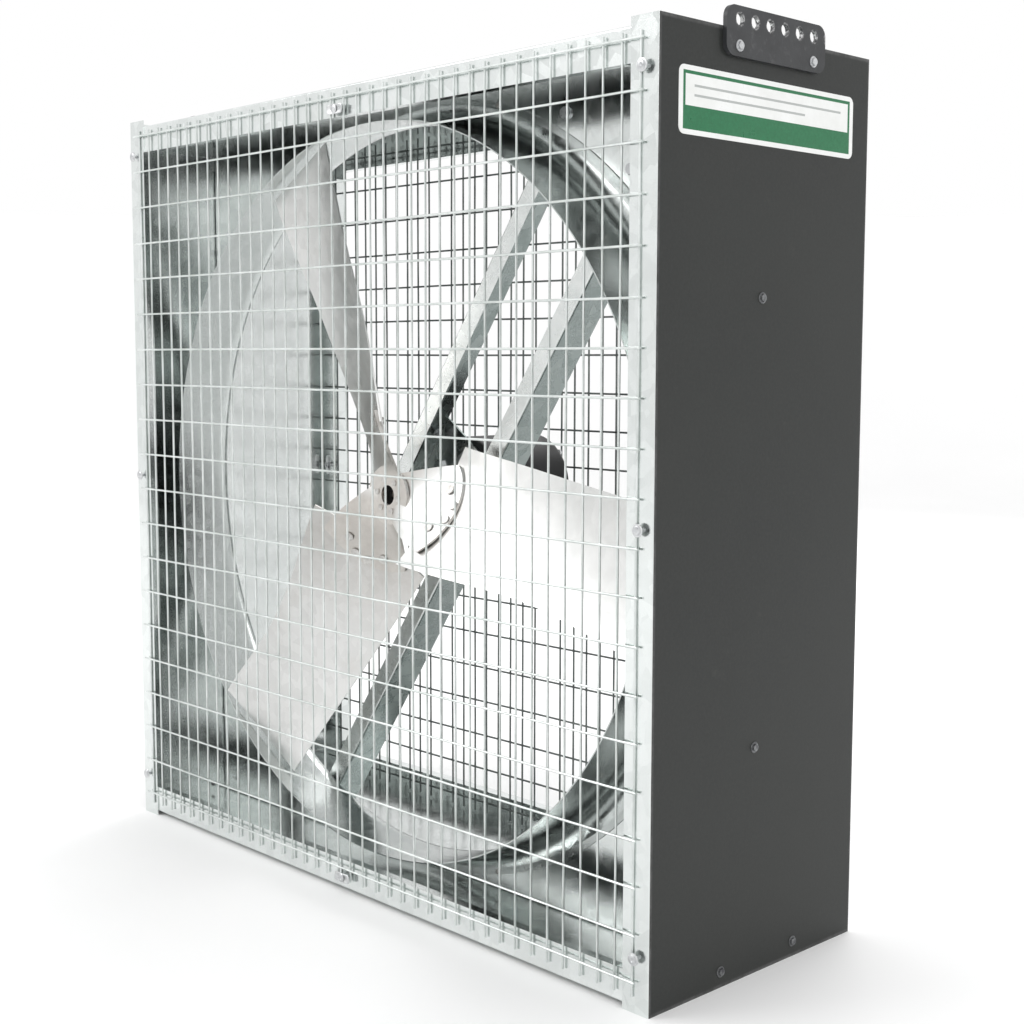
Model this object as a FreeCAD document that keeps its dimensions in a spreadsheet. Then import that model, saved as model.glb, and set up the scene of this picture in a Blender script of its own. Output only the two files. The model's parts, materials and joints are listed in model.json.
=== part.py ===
"""36 inch direct-drive box exhaust fan.

Frame: +Z up, air leaves towards -Y, origin under the middle of the fan at floor level.
The sketches use depths measured back from the front flange face; each body is then
moved forward by half the overall depth. Parts that turn are sketched about the shaft.
"""
import FreeCAD
import Part
import Sketcher
import os
from FreeCAD import Placement, Rotation, Vector

DIMENSIONS = (
    # housing
    ("house_w", 1016.0), ("depth", 362.0), ("side_height", 1022.0),
    ("top_z", 1014.0), ("base_z", 6.0), ("axis_z", 510.0), ("sheet", 1.5), ("bend", 2.5),
    ("flange", 37.0), ("flange_lip", 10.0), ("rear_lip", 17.0), ("lip_stop", 48.0),
    ("tab_height", 30.0), ("tab_inset", 20.0),
    ("front_proud", 7.92), ("rear_proud", 3.2),
    # orifice panel and ring
    ("panel_y", 140.0), ("panel_half", 504.9), ("panel_z", 502.4), ("panel_flange", 45.0),
    ("ring_y", 44.0), ("ring_radius", 464.0), ("ring_bend", 27.5), ("ring_rim", 500.0),
    ("orifice_radius", 492.5), ("ring_rivet_circle", 496.5), ("key_x", 462.0), ("key_z", 425.0),
    # guards
    ("wire", 1.35), ("wire_gap", 0.04), ("row_pitch", 50.8), ("column_pitch", 25.4),
    ("front_rows", 20.0), ("front_columns", 39.0), ("front_row_z", 34.5),
    ("front_column_x", -479.1), ("front_row_half", 491.0),
    ("front_column_low", 18.0), ("front_column_high", 1007.0),
    ("rear_rows", 20.0), ("rear_columns", 38.0), ("rear_guard_half", 499.0),
    ("clip_x", 491.0), ("clip_low_z", 61.0), ("clip_high_z", 972.0), ("clip_mid_z", 511.0),
    ("clip_w", 30.0), ("clip_t", 1.2), ("washer", 7.0), ("rear_clip_z", 406.4), ("rear_clip_edge", 492.0),
    ("guard_mid_x", -9.2), ("guard_top_z", 985.5), ("guard_base_z", 22.0),
    # struts
    ("strut_angle", 55.0), ("strut_half", 535.0), ("strut_in", 53.0), ("strut_out", 78.0),
    ("strut_leg", 50.0), ("strut_t", 3.0), ("strut_bolt_along", 515.0), ("strut_bolt_across", 63.5),
    # motor
    ("mount_half", 62.0), ("mount_t", 3.0), ("mount_skirt", 24.0), ("mount_bolt_along", 42.0),
    ("mount_pilot", 34.0), ("bell_bolt_circle", 52.0),
    ("motor_radius", 70.0), ("shell_t", 2.0), ("bell_front_y", 194.5), ("shell_front_y", 212.0),
    ("shell_rear_y", 311.0), ("bell_rear_y", 328.0), ("boss_radius", 30.0), ("boss_front_y", 184.0),
    ("bearing_radius", 20.0), ("bearing_w", 12.0), ("front_bearing_y", 190.0),
    ("rear_bearing_y", 309.0), ("race", 3.6), ("ball", 2.9), ("ball_circle", 13.6),
    ("shaft_radius", 7.94), ("shaft_front_y", 79.0), ("shaft_rear_y", 325.0),
    ("stator_front_y", 234.0), ("stator_rear_y", 290.0), ("stator_bore", 42.0),
    ("rotor_radius", 41.5), ("winding_radius", 53.0), ("winding_tube", 8.0),
    ("tie_circle", 64.6), ("tie_radius", 2.4),
    ("box_half", 32.0), ("box_front_y", 228.0), ("box_rear_y", 300.0), ("box_drop", 36.0),
    ("gland_radius", 11.0), ("plate_half_angle", 28.0), ("plate_front_y", 232.0),
    ("plate_rear_y", 284.0),
    # hub and blades
    ("hub_flange_y", 70.3), ("hub_flange_t", 6.0), ("hub_flange_radius", 30.0),
    ("hub_radius", 23.0), ("hub_rear_y", 128.0), ("hub_mouth", 12.7), ("hub_rivet_circle", 21.0),
    ("spider_y", 66.0), ("spider_t", 4.0), ("spider_radius", 38.0), ("arm_round", 69.0),
    ("arm_centre", 48.0), ("arm_gap", 1.1),
    ("blade_t", 2.0), ("camber_radius", 405.0), ("blade_reach", 457.0), ("root_z", 78.0),
    ("blade_angle", 110.0), ("rivet", 3.2), ("rivet_z", 92.0), ("rivet_across", 27.0),
    ("rivet_step", 17.0), ("rivet_out", 10.0), ("rivet_head", 6.2), ("rivet_head_t", 1.6),
    ("near_front", 6.55), ("near_rear", 2.25), ("far_front", 5.05), ("far_rear", 2.95),
    ("screw_set", 4.0),
    # hangers, label and screws
    ("hanger_w", 170.0), ("hanger_low", 993.0), ("hanger_high", 1044.0), ("hanger_t", 5.0),
    ("hanger_round", 13.0), ("hanger_y", 183.0), ("hanger_pitch", 25.4), ("hanger_holes", 6.0),
    ("hanger_hole_z", 1030.5), ("hanger_hole", 6.5), ("hanger_screw", 63.5),
    ("hanger_screw_z", 1004.0),
    ("label_front", 30.0), ("label_rear", 330.0), ("label_low", 908.0), ("label_high", 976.0),
    ("label_t", 0.4), ("label_round", 8.0),
    ("shank", 2.4), ("hole", 2.55), ("hex", 5.4), ("hex_t", 3.2), ("bolt", 4.0),
    ("bolt_hole", 4.15), ("bolt_hex", 7.5), ("bolt_hex_t", 5.0),
    ("wall_screw_y", 171.0), ("wall_screw_high", 749.0), ("wall_screw_low", 259.0),
    ("foot_screw_front", 118.0), ("foot_screw_rear", 248.0), ("foot_screw_z", 18.0),
)

# radius, chord, pitch, sweep and depth of the blade sections, from root to tip
SECTIONS = (
    ("root", 66.0, 172.0, 33.0, 1.0, 79.0),
    ("inner", 130.0, 166.0, 29.5, 3.0, 80.5),
    ("lower", 197.0, 157.0, 24.0, 8.0, 80.0),
    ("middle", 271.0, 150.0, 19.0, 13.0, 76.5),
    ("upper", 342.0, 151.0, 14.5, 15.0, 70.5),
    ("tip", 472.0, 161.0, 9.5, 13.0, 63.0),
)

# radius, width, pitch, sweep and depth of the spider arm sections, from hub to end
ARM_SECTIONS = (
    ("arm_hub", 14.0, 62.0, 0.0, 0.0, 71.6),
    ("arm_neck", 50.0, 92.0, 24.0, 0.5, 75.0),
    ("arm_seat", 88.0, 120.0, 32.0, 1.7, 79.4),
    ("arm_end", 130.0, 124.0, 29.5, 3.0, 80.5),
)

doc = FreeCAD.newDocument("box_fan")
dims = doc.addObject("Spreadsheet::Sheet", "Dims")
nodes = []


def fill_sheet():
    """Writes every dimension into the sheet under its own name."""
    rows = list(DIMENSIONS)
    for name, radius, chord, pitch, sweep, deep in SECTIONS + ARM_SECTIONS:
        rows.append((name + "_radius", radius))
        rows.append((name + "_chord", chord))
        rows.append((name + "_pitch", pitch))
        rows.append((name + "_sweep", sweep))
        rows.append((name + "_depth", deep))
    for number, (name, size) in enumerate(rows, start=1):
        dims.set("A%d" % number, str(size))
        dims.setAlias("A%d" % number, name)
    doc.recompute()


def value(text):
    """Number that a sheet expression gives now, to start a sketch close to its answer."""
    return float(dims.evalExpression(text))


def d(text):
    """Full expression from short dimension names: d('house_w / 2') is 'Dims.house_w / 2'."""
    words = []
    word = ""
    for letter in text + " ":
        if letter.isalnum() or letter == "_":
            word += letter
            continue
        if word and word[0].isalpha() and word not in ("sin", "cos", "sqrt", "deg", "Dims"):
            word = "Dims." + word
        words.append(word + letter)
        word = ""
    return "".join(words).strip()


def new_body(label, on_axis=False, tilt=None):
    """Empty body of one part, placed in the fan, about the shaft or at the floor."""
    body = doc.addObject("PartDesign::Body", label)
    body.Label = label
    if tilt is not None:
        body.Placement = Placement(Vector(), Rotation(Vector(0, 1, 0), 10))
        body.setExpression("Placement.Rotation.Angle", tilt)
    body.setExpression("Placement.Base.y", d("(front_proud - depth - rear_proud) / 2"))
    if on_axis:
        body.setExpression("Placement.Base.z", d("axis_z"))
    nodes.append(body)
    return body


def origin_plane(body, role):
    """One of the body's own base planes."""
    return [item for item in body.Origin.OriginFeatures if item.Role == role][0]


def new_sketch(body, plane, at="0"):
    """Sketch across one world axis, at a coordinate of that axis."""
    sketch = body.newObject("Sketcher::SketchObject", body.Name + "_sketch")
    sketch.AttachmentSupport = [(origin_plane(body, plane + "_Plane"), "")]
    sketch.MapMode = "FlatFace"
    sign = "-" if plane == "XZ" else ""
    sketch.setExpression("AttachmentOffset.Base.z", "%s(%s)" % (sign, d(at)))
    return sketch


def bind(sketch, kind, geometry, point, text):
    """Holds one coordinate of a sketch point to a sheet expression."""
    start = value(d(text))
    number = sketch.addConstraint(Sketcher.Constraint(kind, -1, 1, geometry, point, start))
    sketch.setExpression("Constraints[%d]" % number, d(text))


def add_loop(sketch, points):
    """Closed outline through points whose coordinates are sheet expressions."""
    corners = [Vector(value(d(x)), value(d(y)), 0) for x, y in points]
    first = sketch.GeometryCount
    count = len(corners)
    for index in range(count):
        line = Part.LineSegment(corners[index], corners[(index + 1) % count])
        sketch.addGeometry(line, False)
    for index in range(count):
        after = first + (index + 1) % count
        sketch.addConstraint(Sketcher.Constraint("Coincident", first + index, 2, after, 1))
        bind(sketch, "DistanceX", first + index, 1, points[index][0])
        bind(sketch, "DistanceY", first + index, 1, points[index][1])


def add_box(sketch, left, right, low, high):
    """Rectangle between two expressions each way."""
    add_loop(sketch, ((left, low), (right, low), (right, high), (left, high)))


def add_circle(sketch, x, y, radius):
    """Circle held by its centre and radius."""
    centre = Vector(value(d(x)), value(d(y)), 0)
    size = value(d(radius))
    number = sketch.addGeometry(Part.Circle(centre, Vector(0, 0, 1), size), False)
    bind(sketch, "DistanceX", number, 3, x)
    bind(sketch, "DistanceY", number, 3, y)
    rule = sketch.addConstraint(Sketcher.Constraint("Radius", number, size))
    sketch.setExpression("Constraints[%d]" % rule, d(radius))


def extrude(body, sketch, length, cut=False, both=False, back=False):
    """Pad or pocket that runs towards the positive side of the axis the sketch crosses."""
    kind = "PartDesign::Pocket" if cut else "PartDesign::Pad"
    feature = body.newObject(kind, body.Name + ("_cut" if cut else "_pad"))
    feature.Profile = sketch
    feature.setExpression("Length", d(length))
    if both:
        feature.SideType = "Symmetric"
    else:
        flipped = (sketch.AttachmentSupport[0][0].Role == "XZ_Plane") != cut
        feature.Reversed = flipped != back
    sketch.Visibility = False
    doc.recompute()
    return feature


def turn(body, points):
    """Solid of revolution about the shaft from (depth, radius) points."""
    sketch = new_sketch(body, "YZ")
    add_loop(sketch, points)
    feature = body.newObject("PartDesign::Revolution", body.Name + "_turn")
    feature.Profile = sketch
    feature.ReferenceAxis = (sketch, ["H_Axis"])
    feature.Angle = 360
    sketch.Visibility = False
    doc.recompute()
    return feature


def polar(body, originals, sketch, count):
    """Copies of features about the shaft."""
    pattern = body.newObject("PartDesign::PolarPattern", body.Name + "_ring")
    pattern.Originals = originals
    pattern.Axis = (sketch, ["N_Axis"])
    pattern.Angle = 360
    pattern.Occurrences = count
    body.Tip = pattern
    doc.recompute()
    return pattern


def in_line(body, feature, sketch, axis, count, pitch):
    """Straight row of copies along a sketch direction."""
    pattern = body.newObject("PartDesign::LinearPattern", body.Name + "_row")
    pattern.Originals = [feature]
    pattern.Direction = (sketch, [axis])
    pattern.Mode = "Spacing"
    pattern.setExpression("Offset", d(pitch))
    pattern.setExpression("Occurrences", d(count))
    body.Tip = pattern
    doc.recompute()
    return pattern


def round_edges(body, feature, wanted, radius):
    """Rounds the wanted edges of a feature."""
    names = []
    for number, edge in enumerate(feature.Shape.Edges, start=1):
        if wanted(edge):
            names.append("Edge%d" % number)
    fillet = body.newObject("PartDesign::Fillet", body.Name + "_round")
    fillet.Base = (feature, names)
    fillet.setExpression("Radius", d(radius))
    doc.recompute()
    return fillet


def along(edge, axis):
    """True for a straight edge parallel to an axis."""
    if not isinstance(edge.Curve, Part.Line):
        return False
    return abs(edge.Curve.Direction.dot(axis)) > 0.999


def near(edge, **where):
    """True if the middle of an edge has the stated coordinates."""
    middle = edge.BoundBox.Center
    return all(abs(getattr(middle, axis) - size) < 0.05 for axis, size in where.items())


def drill(body, plane, at, depth, holes, radius):
    """Round holes from one plane towards the positive side."""
    sketch = new_sketch(body, plane, at)
    for x, y in holes:
        add_circle(sketch, x, y, radius)
    return extrude(body, sketch, depth, cut=True)


# ---------------------------------------------------------------- housing

def side_panel(label, sign):
    """Channel with a flange and lip at the front and rear."""
    body = new_body(label)
    edge = sign + "(house_w / 2)"
    wall = sign + "(house_w / 2 - sheet)"
    inner = sign + "(house_w / 2 - flange)"
    lip = sign + "(house_w / 2 - flange + sheet)"
    sketch = new_sketch(body, "XY")
    add_loop(sketch, (
        (edge, "0"), (edge, "depth"), (inner, "depth"), (inner, "depth - sheet"),
        (wall, "depth - sheet"), (wall, "sheet"), (inner, "sheet"), (inner, "0")))
    shell = extrude(body, sketch, "side_height")
    side = value(d(edge))
    bends = round_edges(body, shell, lambda e: along(e, Vector(0, 0, 1)) and near(e, x=side), "bend")
    web = value(d(wall))
    inside = round_edges(
        body, bends, lambda e: along(e, Vector(0, 0, 1)) and near(e, x=web), "bend - sheet")
    body.Tip = inside
    sketch = new_sketch(body, "XY", "base_z + lip_stop")
    add_box(sketch, inner, lip, "sheet", "sheet + flange_lip")
    add_box(sketch, inner, lip, "depth - rear_lip - sheet", "depth - sheet")
    extrude(body, sketch, "top_z - base_z - 2 * lip_stop")
    start = "-(house_w / 2 + 1)" if sign == "-" else "house_w / 2 - 3"
    drill(body, "YZ", start, "4", (
        ("wall_screw_y", "wall_screw_high"), ("wall_screw_y", "wall_screw_low"),
        ("foot_screw_front", "foot_screw_z"), ("foot_screw_rear", "foot_screw_z"),
        ("hanger_y - hanger_screw", "hanger_screw_z"),
        ("hanger_y + hanger_screw", "hanger_screw_z")), "hole")
    drill(body, "XZ", "-1", "4", [
        (sign + "clip_x", height) for height in ("clip_low_z", "clip_mid_z", "clip_high_z")],
        "hole")
    drill(body, "XZ", "depth - 3", "4", [
        (sign + "clip_x", "axis_z" + step) for step in (" - rear_clip_z", "", " + rear_clip_z")],
        "hole")
    return body


def end_panel(label, outer, step):
    """Top or bottom panel: channel across the fan with end tabs for the side panels."""
    body = new_body(label)
    span = "house_w / 2 - bend"
    web = "%s - %s * sheet" % (outer, step)
    reach = "%s - %s * flange" % (outer, step)
    hem = "%s - %s * (flange - sheet)" % (outer, step)
    sketch = new_sketch(body, "YZ", "-(" + span + ")")
    add_loop(sketch, (
        ("sheet", outer), ("depth - sheet", outer), ("depth - sheet", reach),
        ("depth - 2 * sheet", reach), ("depth - 2 * sheet", web), ("2 * sheet", web),
        ("2 * sheet", reach), ("sheet", reach)))
    shell = extrude(body, sketch, "house_w - 2 * bend")
    top = value(d(outer))
    bends = round_edges(
        body, shell, lambda e: along(e, Vector(1, 0, 0)) and near(e, z=top), "bend")
    body.Tip = bends
    sketch = new_sketch(body, "YZ", "-(house_w / 2 - lip_stop)")
    add_box(sketch, "2 * sheet", "2 * sheet + flange_lip", reach, hem)
    add_box(sketch, "depth - sheet - rear_lip", "depth - 2 * sheet", reach, hem)
    extrude(body, sketch, "house_w - 2 * lip_stop")
    tab = "%s - %s * tab_height" % (outer, step)
    for start in ("-(house_w / 2 - sheet)", "house_w / 2 - 2 * sheet"):
        sketch = new_sketch(body, "YZ", start)
        add_box(sketch, "tab_inset", "depth - tab_inset", tab, outer)
        extrude(body, sketch, "sheet")
    if step == "1":
        holes = [("hanger_y - hanger_screw", "hanger_screw_z"),
                 ("hanger_y + hanger_screw", "hanger_screw_z")]
    else:
        holes = [("foot_screw_front", "foot_screw_z"), ("foot_screw_rear", "foot_screw_z")]
    drill(body, "YZ", "-(house_w / 2)", "house_w", holes, "hole")
    front_z = "guard_top_z" if step == "1" else "guard_base_z"
    drill(body, "XZ", "-1", "5", [("guard_mid_x", front_z)], "hole")
    drill(body, "XZ", "depth - 4", "5", [("0", "axis_z + %s * rear_clip_edge" % step)], "hole")
    return body


def orifice_panel():
    """Plate that closes the box around the ring, with rearward flanges."""
    body = new_body("orifice_panel", on_axis=True)
    sketch = new_sketch(body, "XZ", "panel_y")
    add_box(sketch, "-panel_half", "panel_half", "-panel_z", "panel_z")
    block = extrude(body, sketch, "panel_flange")
    edges = round_edges(
        body, block, lambda e: near(e, y=value(d("panel_y"))) and not along(e, Vector(0, 1, 0)),
        "bend")
    body.Tip = edges
    sketch = new_sketch(body, "XZ", "panel_y + sheet")
    add_box(sketch, "-(panel_half - sheet)", "panel_half - sheet",
            "-(panel_z - sheet)", "panel_z - sheet")
    extrude(body, sketch, "panel_flange", cut=True)
    sketch = new_sketch(body, "XZ", "panel_y - 1")
    add_circle(sketch, "0", "0", "orifice_radius")
    extrude(body, sketch, "4", cut=True)
    rivets = ring_positions("ring_rivet_circle", 12, 15.0)
    drill(body, "XZ", "panel_y - 1", "4", rivets, "hole")
    drill(body, "XZ", "panel_y - 1", "4", strut_bolt_positions(), "bolt_hole")
    drill(body, "YZ", "-(panel_half + 1)", "2 * panel_half + 2", (
        ("wall_screw_y", "wall_screw_high - axis_z"),
        ("wall_screw_y", "wall_screw_low - axis_z")), "hole")
    sketch = new_sketch(body, "XZ", "panel_y - 1")
    add_circle(sketch, "key_x", "key_z", "5")
    add_circle(sketch, "-key_x", "key_z", "5")
    extrude(body, sketch, "4", cut=True)
    return body


def ring_positions(radius, count, first=0.0):
    """Evenly spaced places on a circle about the shaft."""
    places = []
    for index in range(count):
        angle = first + 360.0 * index / count
        places.append(("%s * cos(%g deg)" % (radius, angle), "%s * sin(%g deg)" % (radius, angle)))
    return places


def strut_place(run, across):
    """Place given by the distance along and across the strut direction."""
    turn_cos = "cos(strut_angle * 1 deg)"
    turn_sin = "sin(strut_angle * 1 deg)"
    x = "(%s) * %s - (%s) * %s" % (run, turn_cos, across, turn_sin)
    z = "(%s) * %s + (%s) * %s" % (run, turn_sin, across, turn_cos)
    return x, z


def strut_bolt_positions():
    """Places of the four bolts that hold the struts to the panel."""
    return [strut_place(a + "strut_bolt_along", b + "strut_bolt_across")
            for a in ("-", "") for b in ("-", "")]


def venturi_ring():
    """Rolled ring ahead of the panel, flared out to a flat rim that lies on it."""
    body = new_body("venturi_ring", on_axis=True)
    base = turn(body, (
        ("ring_y", "ring_radius"), ("panel_y", "ring_radius"), ("panel_y", "ring_rim"),
        ("panel_y - sheet", "ring_rim"), ("panel_y - sheet", "ring_radius + sheet"),
        ("ring_y", "ring_radius + sheet")))
    throat = round_edges(
        body, base,
        lambda e: is_circle(e, value(d("ring_radius")), value(d("panel_y"))), "ring_bend")
    flare = round_edges(
        body, throat,
        lambda e: is_circle(e, value(d("ring_radius + sheet")), value(d("panel_y - sheet"))),
        "ring_bend - sheet")
    body.Tip = flare
    drill(body, "XZ", "panel_y - 4", "6", ring_positions("ring_rivet_circle", 12, 15.0), "hole")
    return body


def is_circle(edge, radius, depth):
    """Tells whether an edge is a circle of a radius at a depth."""
    if not isinstance(edge.Curve, Part.Circle):
        return False
    return abs(edge.Curve.Radius - radius) < 0.01 and abs(edge.Curve.Center.y - depth) < 0.01


# ---------------------------------------------------------------- guards

def front_guard():
    """Welded mesh: upright wires on the flanges and level wires in front of them."""
    body = new_body("front_guard")
    sketch = new_sketch(body, "XY", "front_column_low")
    add_circle(sketch, "front_column_x", "-(wire + wire_gap)", "wire")
    column = extrude(body, sketch, "front_column_high - front_column_low")
    in_line(body, column, sketch, "H_Axis", "front_columns", "column_pitch")
    sketch = new_sketch(body, "YZ")
    add_circle(sketch, "-(3 * wire + 2 * wire_gap)", "front_row_z", "wire")
    row = extrude(body, sketch, "2 * front_row_half", both=True)
    in_line(body, row, sketch, "V_Axis", "front_rows", "row_pitch")
    return body


def rear_guard():
    """Welded mesh held against the edges of the rear lips."""
    body = new_body("rear_guard", on_axis=True)
    seat = "depth - sheet - rear_lip - wire - wire_gap"
    sketch = new_sketch(body, "XY", "-rear_guard_half")
    add_circle(sketch, "-(rear_columns - 1) * column_pitch / 2", seat, "wire")
    column = extrude(body, sketch, "2 * rear_guard_half")
    in_line(body, column, sketch, "H_Axis", "rear_columns", "column_pitch")
    sketch = new_sketch(body, "YZ")
    add_circle(sketch, seat + " - 2 * wire - wire_gap",
               "-(rear_rows - 1) * row_pitch / 2", "wire")
    row = extrude(body, sketch, "2 * rear_guard_half", both=True)
    in_line(body, row, sketch, "V_Axis", "rear_rows", "row_pitch")
    return body


def front_clip_places():
    """Fixing points of the front guard, with the way each clip lies."""
    places = []
    for sign in ("-", ""):
        for height in ("clip_low_z", "clip_mid_z", "clip_high_z"):
            places.append((sign + "clip_x", height, "round"))
    places.append(("guard_mid_x", "guard_base_z", "x"))
    places.append(("guard_mid_x", "guard_top_z", "x"))
    return places


def rear_clip_places():
    """Fixing points of the rear guard, with the way each clip lies."""
    places = []
    for sign in ("-", ""):
        for step in ("axis_z - rear_clip_z", "axis_z", "axis_z + rear_clip_z"):
            places.append((sign + "clip_x", step, "z"))
    places.append(("0", "axis_z - rear_clip_edge", "x"))
    places.append(("0", "axis_z + rear_clip_edge", "x"))
    return places


def clips(label, places, depth):
    """Clips over the wires, one at each fixing point: flat strips or round washers."""
    body = new_body(label)
    sketch = new_sketch(body, "XZ", depth)
    for x, z, lay in places:
        if lay == "round":
            continue
        half = ("6", "clip_w / 2") if lay == "z" else ("clip_w / 2", "6")
        add_box(sketch, "%s - %s" % (x, half[0]), "%s + %s" % (x, half[0]),
                "%s - %s" % (z, half[1]), "%s + %s" % (z, half[1]))
    plates = extrude(body, sketch, "clip_t")
    body.Tip = round_edges(body, plates, lambda e: along(e, Vector(0, 1, 0)), "2.5")
    washers = [(x, z) for x, z, lay in places if lay == "round"]
    if washers:
        sketch = new_sketch(body, "XZ", depth)
        for x, z in washers:
            add_circle(sketch, x, z, "washer")
        extrude(body, sketch, "clip_t")
    drill(body, "XZ", depth + " - 1", "4", [(x, z) for x, z, lay in places], "hole")
    return body


# ---------------------------------------------------------------- fasteners

def hexagon(sketch, x, y, radius):
    """Six-sided outline about a centre."""
    points = []
    for index in range(6):
        angle = 60.0 * index
        points.append(("%s + %s * cos(%g deg)" % (x, radius, angle),
                       "%s + %s * sin(%g deg)" % (y, radius, angle)))
    add_loop(sketch, points)


def fasteners(label, plane, places, head, shank, on_axis=False, tilt=None, grip="hex"):
    """Group of like screws or bolts.

    head is (from, thickness, radius) and shank is (from, length, radius), measured along
    the axis the plane crosses. A round washer face backs each hexagon head.
    """
    body = new_body(label, on_axis, tilt)
    start, thick, size = head
    sketch = new_sketch(body, plane, start)
    for x, y in places:
        if grip == "hex":
            hexagon(sketch, x, y, size)
        else:
            add_circle(sketch, x, y, size)
    extrude(body, sketch, thick)
    start, length, size = shank
    sketch = new_sketch(body, plane, start)
    for x, y in places:
        add_circle(sketch, x, y, size)
    extrude(body, sketch, length)
    return body


def wall_screws():
    """Screws through both side panels, in one group for each side."""
    for sign, label in (("-", "wall_screws_left"), ("", "wall_screws_right")):
        outer = "house_w / 2"
        head = ("-(house_w / 2 + hex_t)" if sign else outer, "hex_t", "hex")
        shank = ("-(house_w / 2)" if sign else "house_w / 2 - 7", "7", "shank")
        fasteners(label, "YZ", (
            ("wall_screw_y", "wall_screw_high"), ("wall_screw_y", "wall_screw_low"),
            ("foot_screw_front", "foot_screw_z"), ("foot_screw_rear", "foot_screw_z")),
            head, shank)


def hanger_screws():
    """Two screws through each hanging bracket into its side panel."""
    places = (("hanger_y - hanger_screw", "hanger_screw_z"),
              ("hanger_y + hanger_screw", "hanger_screw_z"))
    outer = "house_w / 2 + hanger_t"
    fasteners("hanger_screws_left", "YZ", places,
              ("-(" + outer + " + hex_t)", "hex_t", "hex"), ("-(" + outer + ")", "12", "shank"))
    fasteners("hanger_screws_right", "YZ", places,
              (outer, "hex_t", "hex"), (outer + " - 12", "12", "shank"))


def guard_screws():
    """Pan head screws at the front guard clips, bolts and nuts at the rear ones."""
    front = [(x, z) for x, z, lay in front_clip_places()]
    face = "-(4 * wire + 3 * wire_gap + clip_t)"
    fasteners("front_guard_screws", "XZ", front,
              (face + " - 1.2", "1.2", "hex"), (face, "14", "shank"), grip="round")
    rear = [(x, z) for x, z, lay in rear_clip_places()]
    fasteners("rear_guard_bolts", "XZ", rear,
              ("depth", "hex_t", "hex"), ("depth - 30", "30", "shank"))
    seat = "depth - sheet - rear_lip - 4 * wire - 3 * wire_gap - clip_t"
    body = new_body("rear_guard_nuts")
    sketch = new_sketch(body, "XZ", seat + " - 3")
    for x, z in rear:
        hexagon(sketch, x, z, "hex")
        add_circle(sketch, x, z, "hole")
    extrude(body, sketch, "3")


def ring_rivets():
    """Rivets that hold the rim of the ring on the orifice panel."""
    fasteners("ring_rivets", "XZ", ring_positions("ring_rivet_circle", 12, 15.0),
              ("panel_y - sheet - 1.4", "1.4", "3.4"), ("panel_y - sheet", "5", "shank"),
              on_axis=True, grip="round")


def strut_bolts():
    """Bolts and nuts that hold the struts to the orifice panel."""
    places = strut_bolt_positions()
    fasteners("strut_bolts", "XZ", places,
              ("panel_y - bolt_hex_t", "bolt_hex_t", "bolt_hex"), ("panel_y", "14", "bolt"),
              on_axis=True)
    body = new_body("strut_nuts", on_axis=True)
    sketch = new_sketch(body, "XZ", "panel_y + sheet + strut_t")
    for x, z in places:
        hexagon(sketch, x, z, "bolt_hex")
        add_circle(sketch, x, z, "bolt_hole")
    extrude(body, sketch, "bolt_hex_t + 1")


# ---------------------------------------------------------------- struts and motor mount

def strut(label, sign):
    """Angle bar behind the orifice panel, web on its outer side."""
    body = new_body(label, on_axis=True, tilt=d("-strut_angle"))
    front = "panel_y + sheet"
    inner = sign + "strut_in"
    outer = sign + "strut_out"
    web = sign + "(strut_out - strut_t)"
    sketch = new_sketch(body, "YZ")
    add_loop(sketch, (
        (front, inner), (front + " + strut_t", inner), (front + " + strut_t", web),
        (front + " + strut_leg", web), (front + " + strut_leg", outer), (front, outer)))
    bar = extrude(body, sketch, "2 * strut_half", both=True)
    side = value(d(outer))
    face = value(d(front))
    body.Tip = round_edges(
        body, bar, lambda e: along(e, Vector(1, 0, 0)) and near(e, z=side, y=face), "strut_t")
    drill(body, "XZ", front + " - 1", "6", (
        ("-strut_bolt_along", sign + "strut_bolt_across"),
        ("strut_bolt_along", sign + "strut_bolt_across")), "bolt_hole")
    start = "-(strut_out + 2)" if sign == "-" else "strut_out - strut_t - 2"
    drill(body, "XY", start, "strut_t + 4", mount_bolt_places(), "bolt_hole")
    return body


def mount_bolt_places():
    """Places of the four bolts between the motor plate and the struts."""
    depth = "bell_front_y - mount_t - mount_skirt / 2"
    return [("-mount_bolt_along", depth), ("mount_bolt_along", depth)]


def motor_mount():
    """Plate across the rear edges of both struts, with skirts bolted to their webs."""
    body = new_body("motor_mount_plate", on_axis=True, tilt=d("-strut_angle"))
    sketch = new_sketch(body, "XZ", "bell_front_y - mount_t")
    add_box(sketch, "-mount_half", "mount_half", "-(strut_out + mount_t)", "strut_out + mount_t")
    add_circle(sketch, "0", "0", "mount_pilot")
    plate = extrude(body, sketch, "mount_t")
    for low, high in (("strut_out", "strut_out + mount_t"), ("-(strut_out + mount_t)", "-strut_out")):
        sketch = new_sketch(body, "XZ", "bell_front_y - mount_t - mount_skirt")
        add_box(sketch, "-mount_half", "mount_half", low, high)
        plate = extrude(body, sketch, "mount_skirt + 0.5 * mount_t")
    rear = value(d("bell_front_y"))
    body.Tip = round_edges(
        body, plate,
        lambda e: along(e, Vector(1, 0, 0)) and near(e, y=rear)
        and abs(e.BoundBox.Center.z) > value(d("strut_out")), "mount_t * 0.8")
    drill(body, "XZ", "bell_front_y - mount_t - 1", "mount_t + 2",
          ring_positions("bell_bolt_circle", 4, 0.0), "bolt_hole")
    drill(body, "XY", "-(strut_out + mount_t + 1)", "2 * (strut_out + mount_t + 1)",
          mount_bolt_places(), "bolt_hole")
    return body


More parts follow.
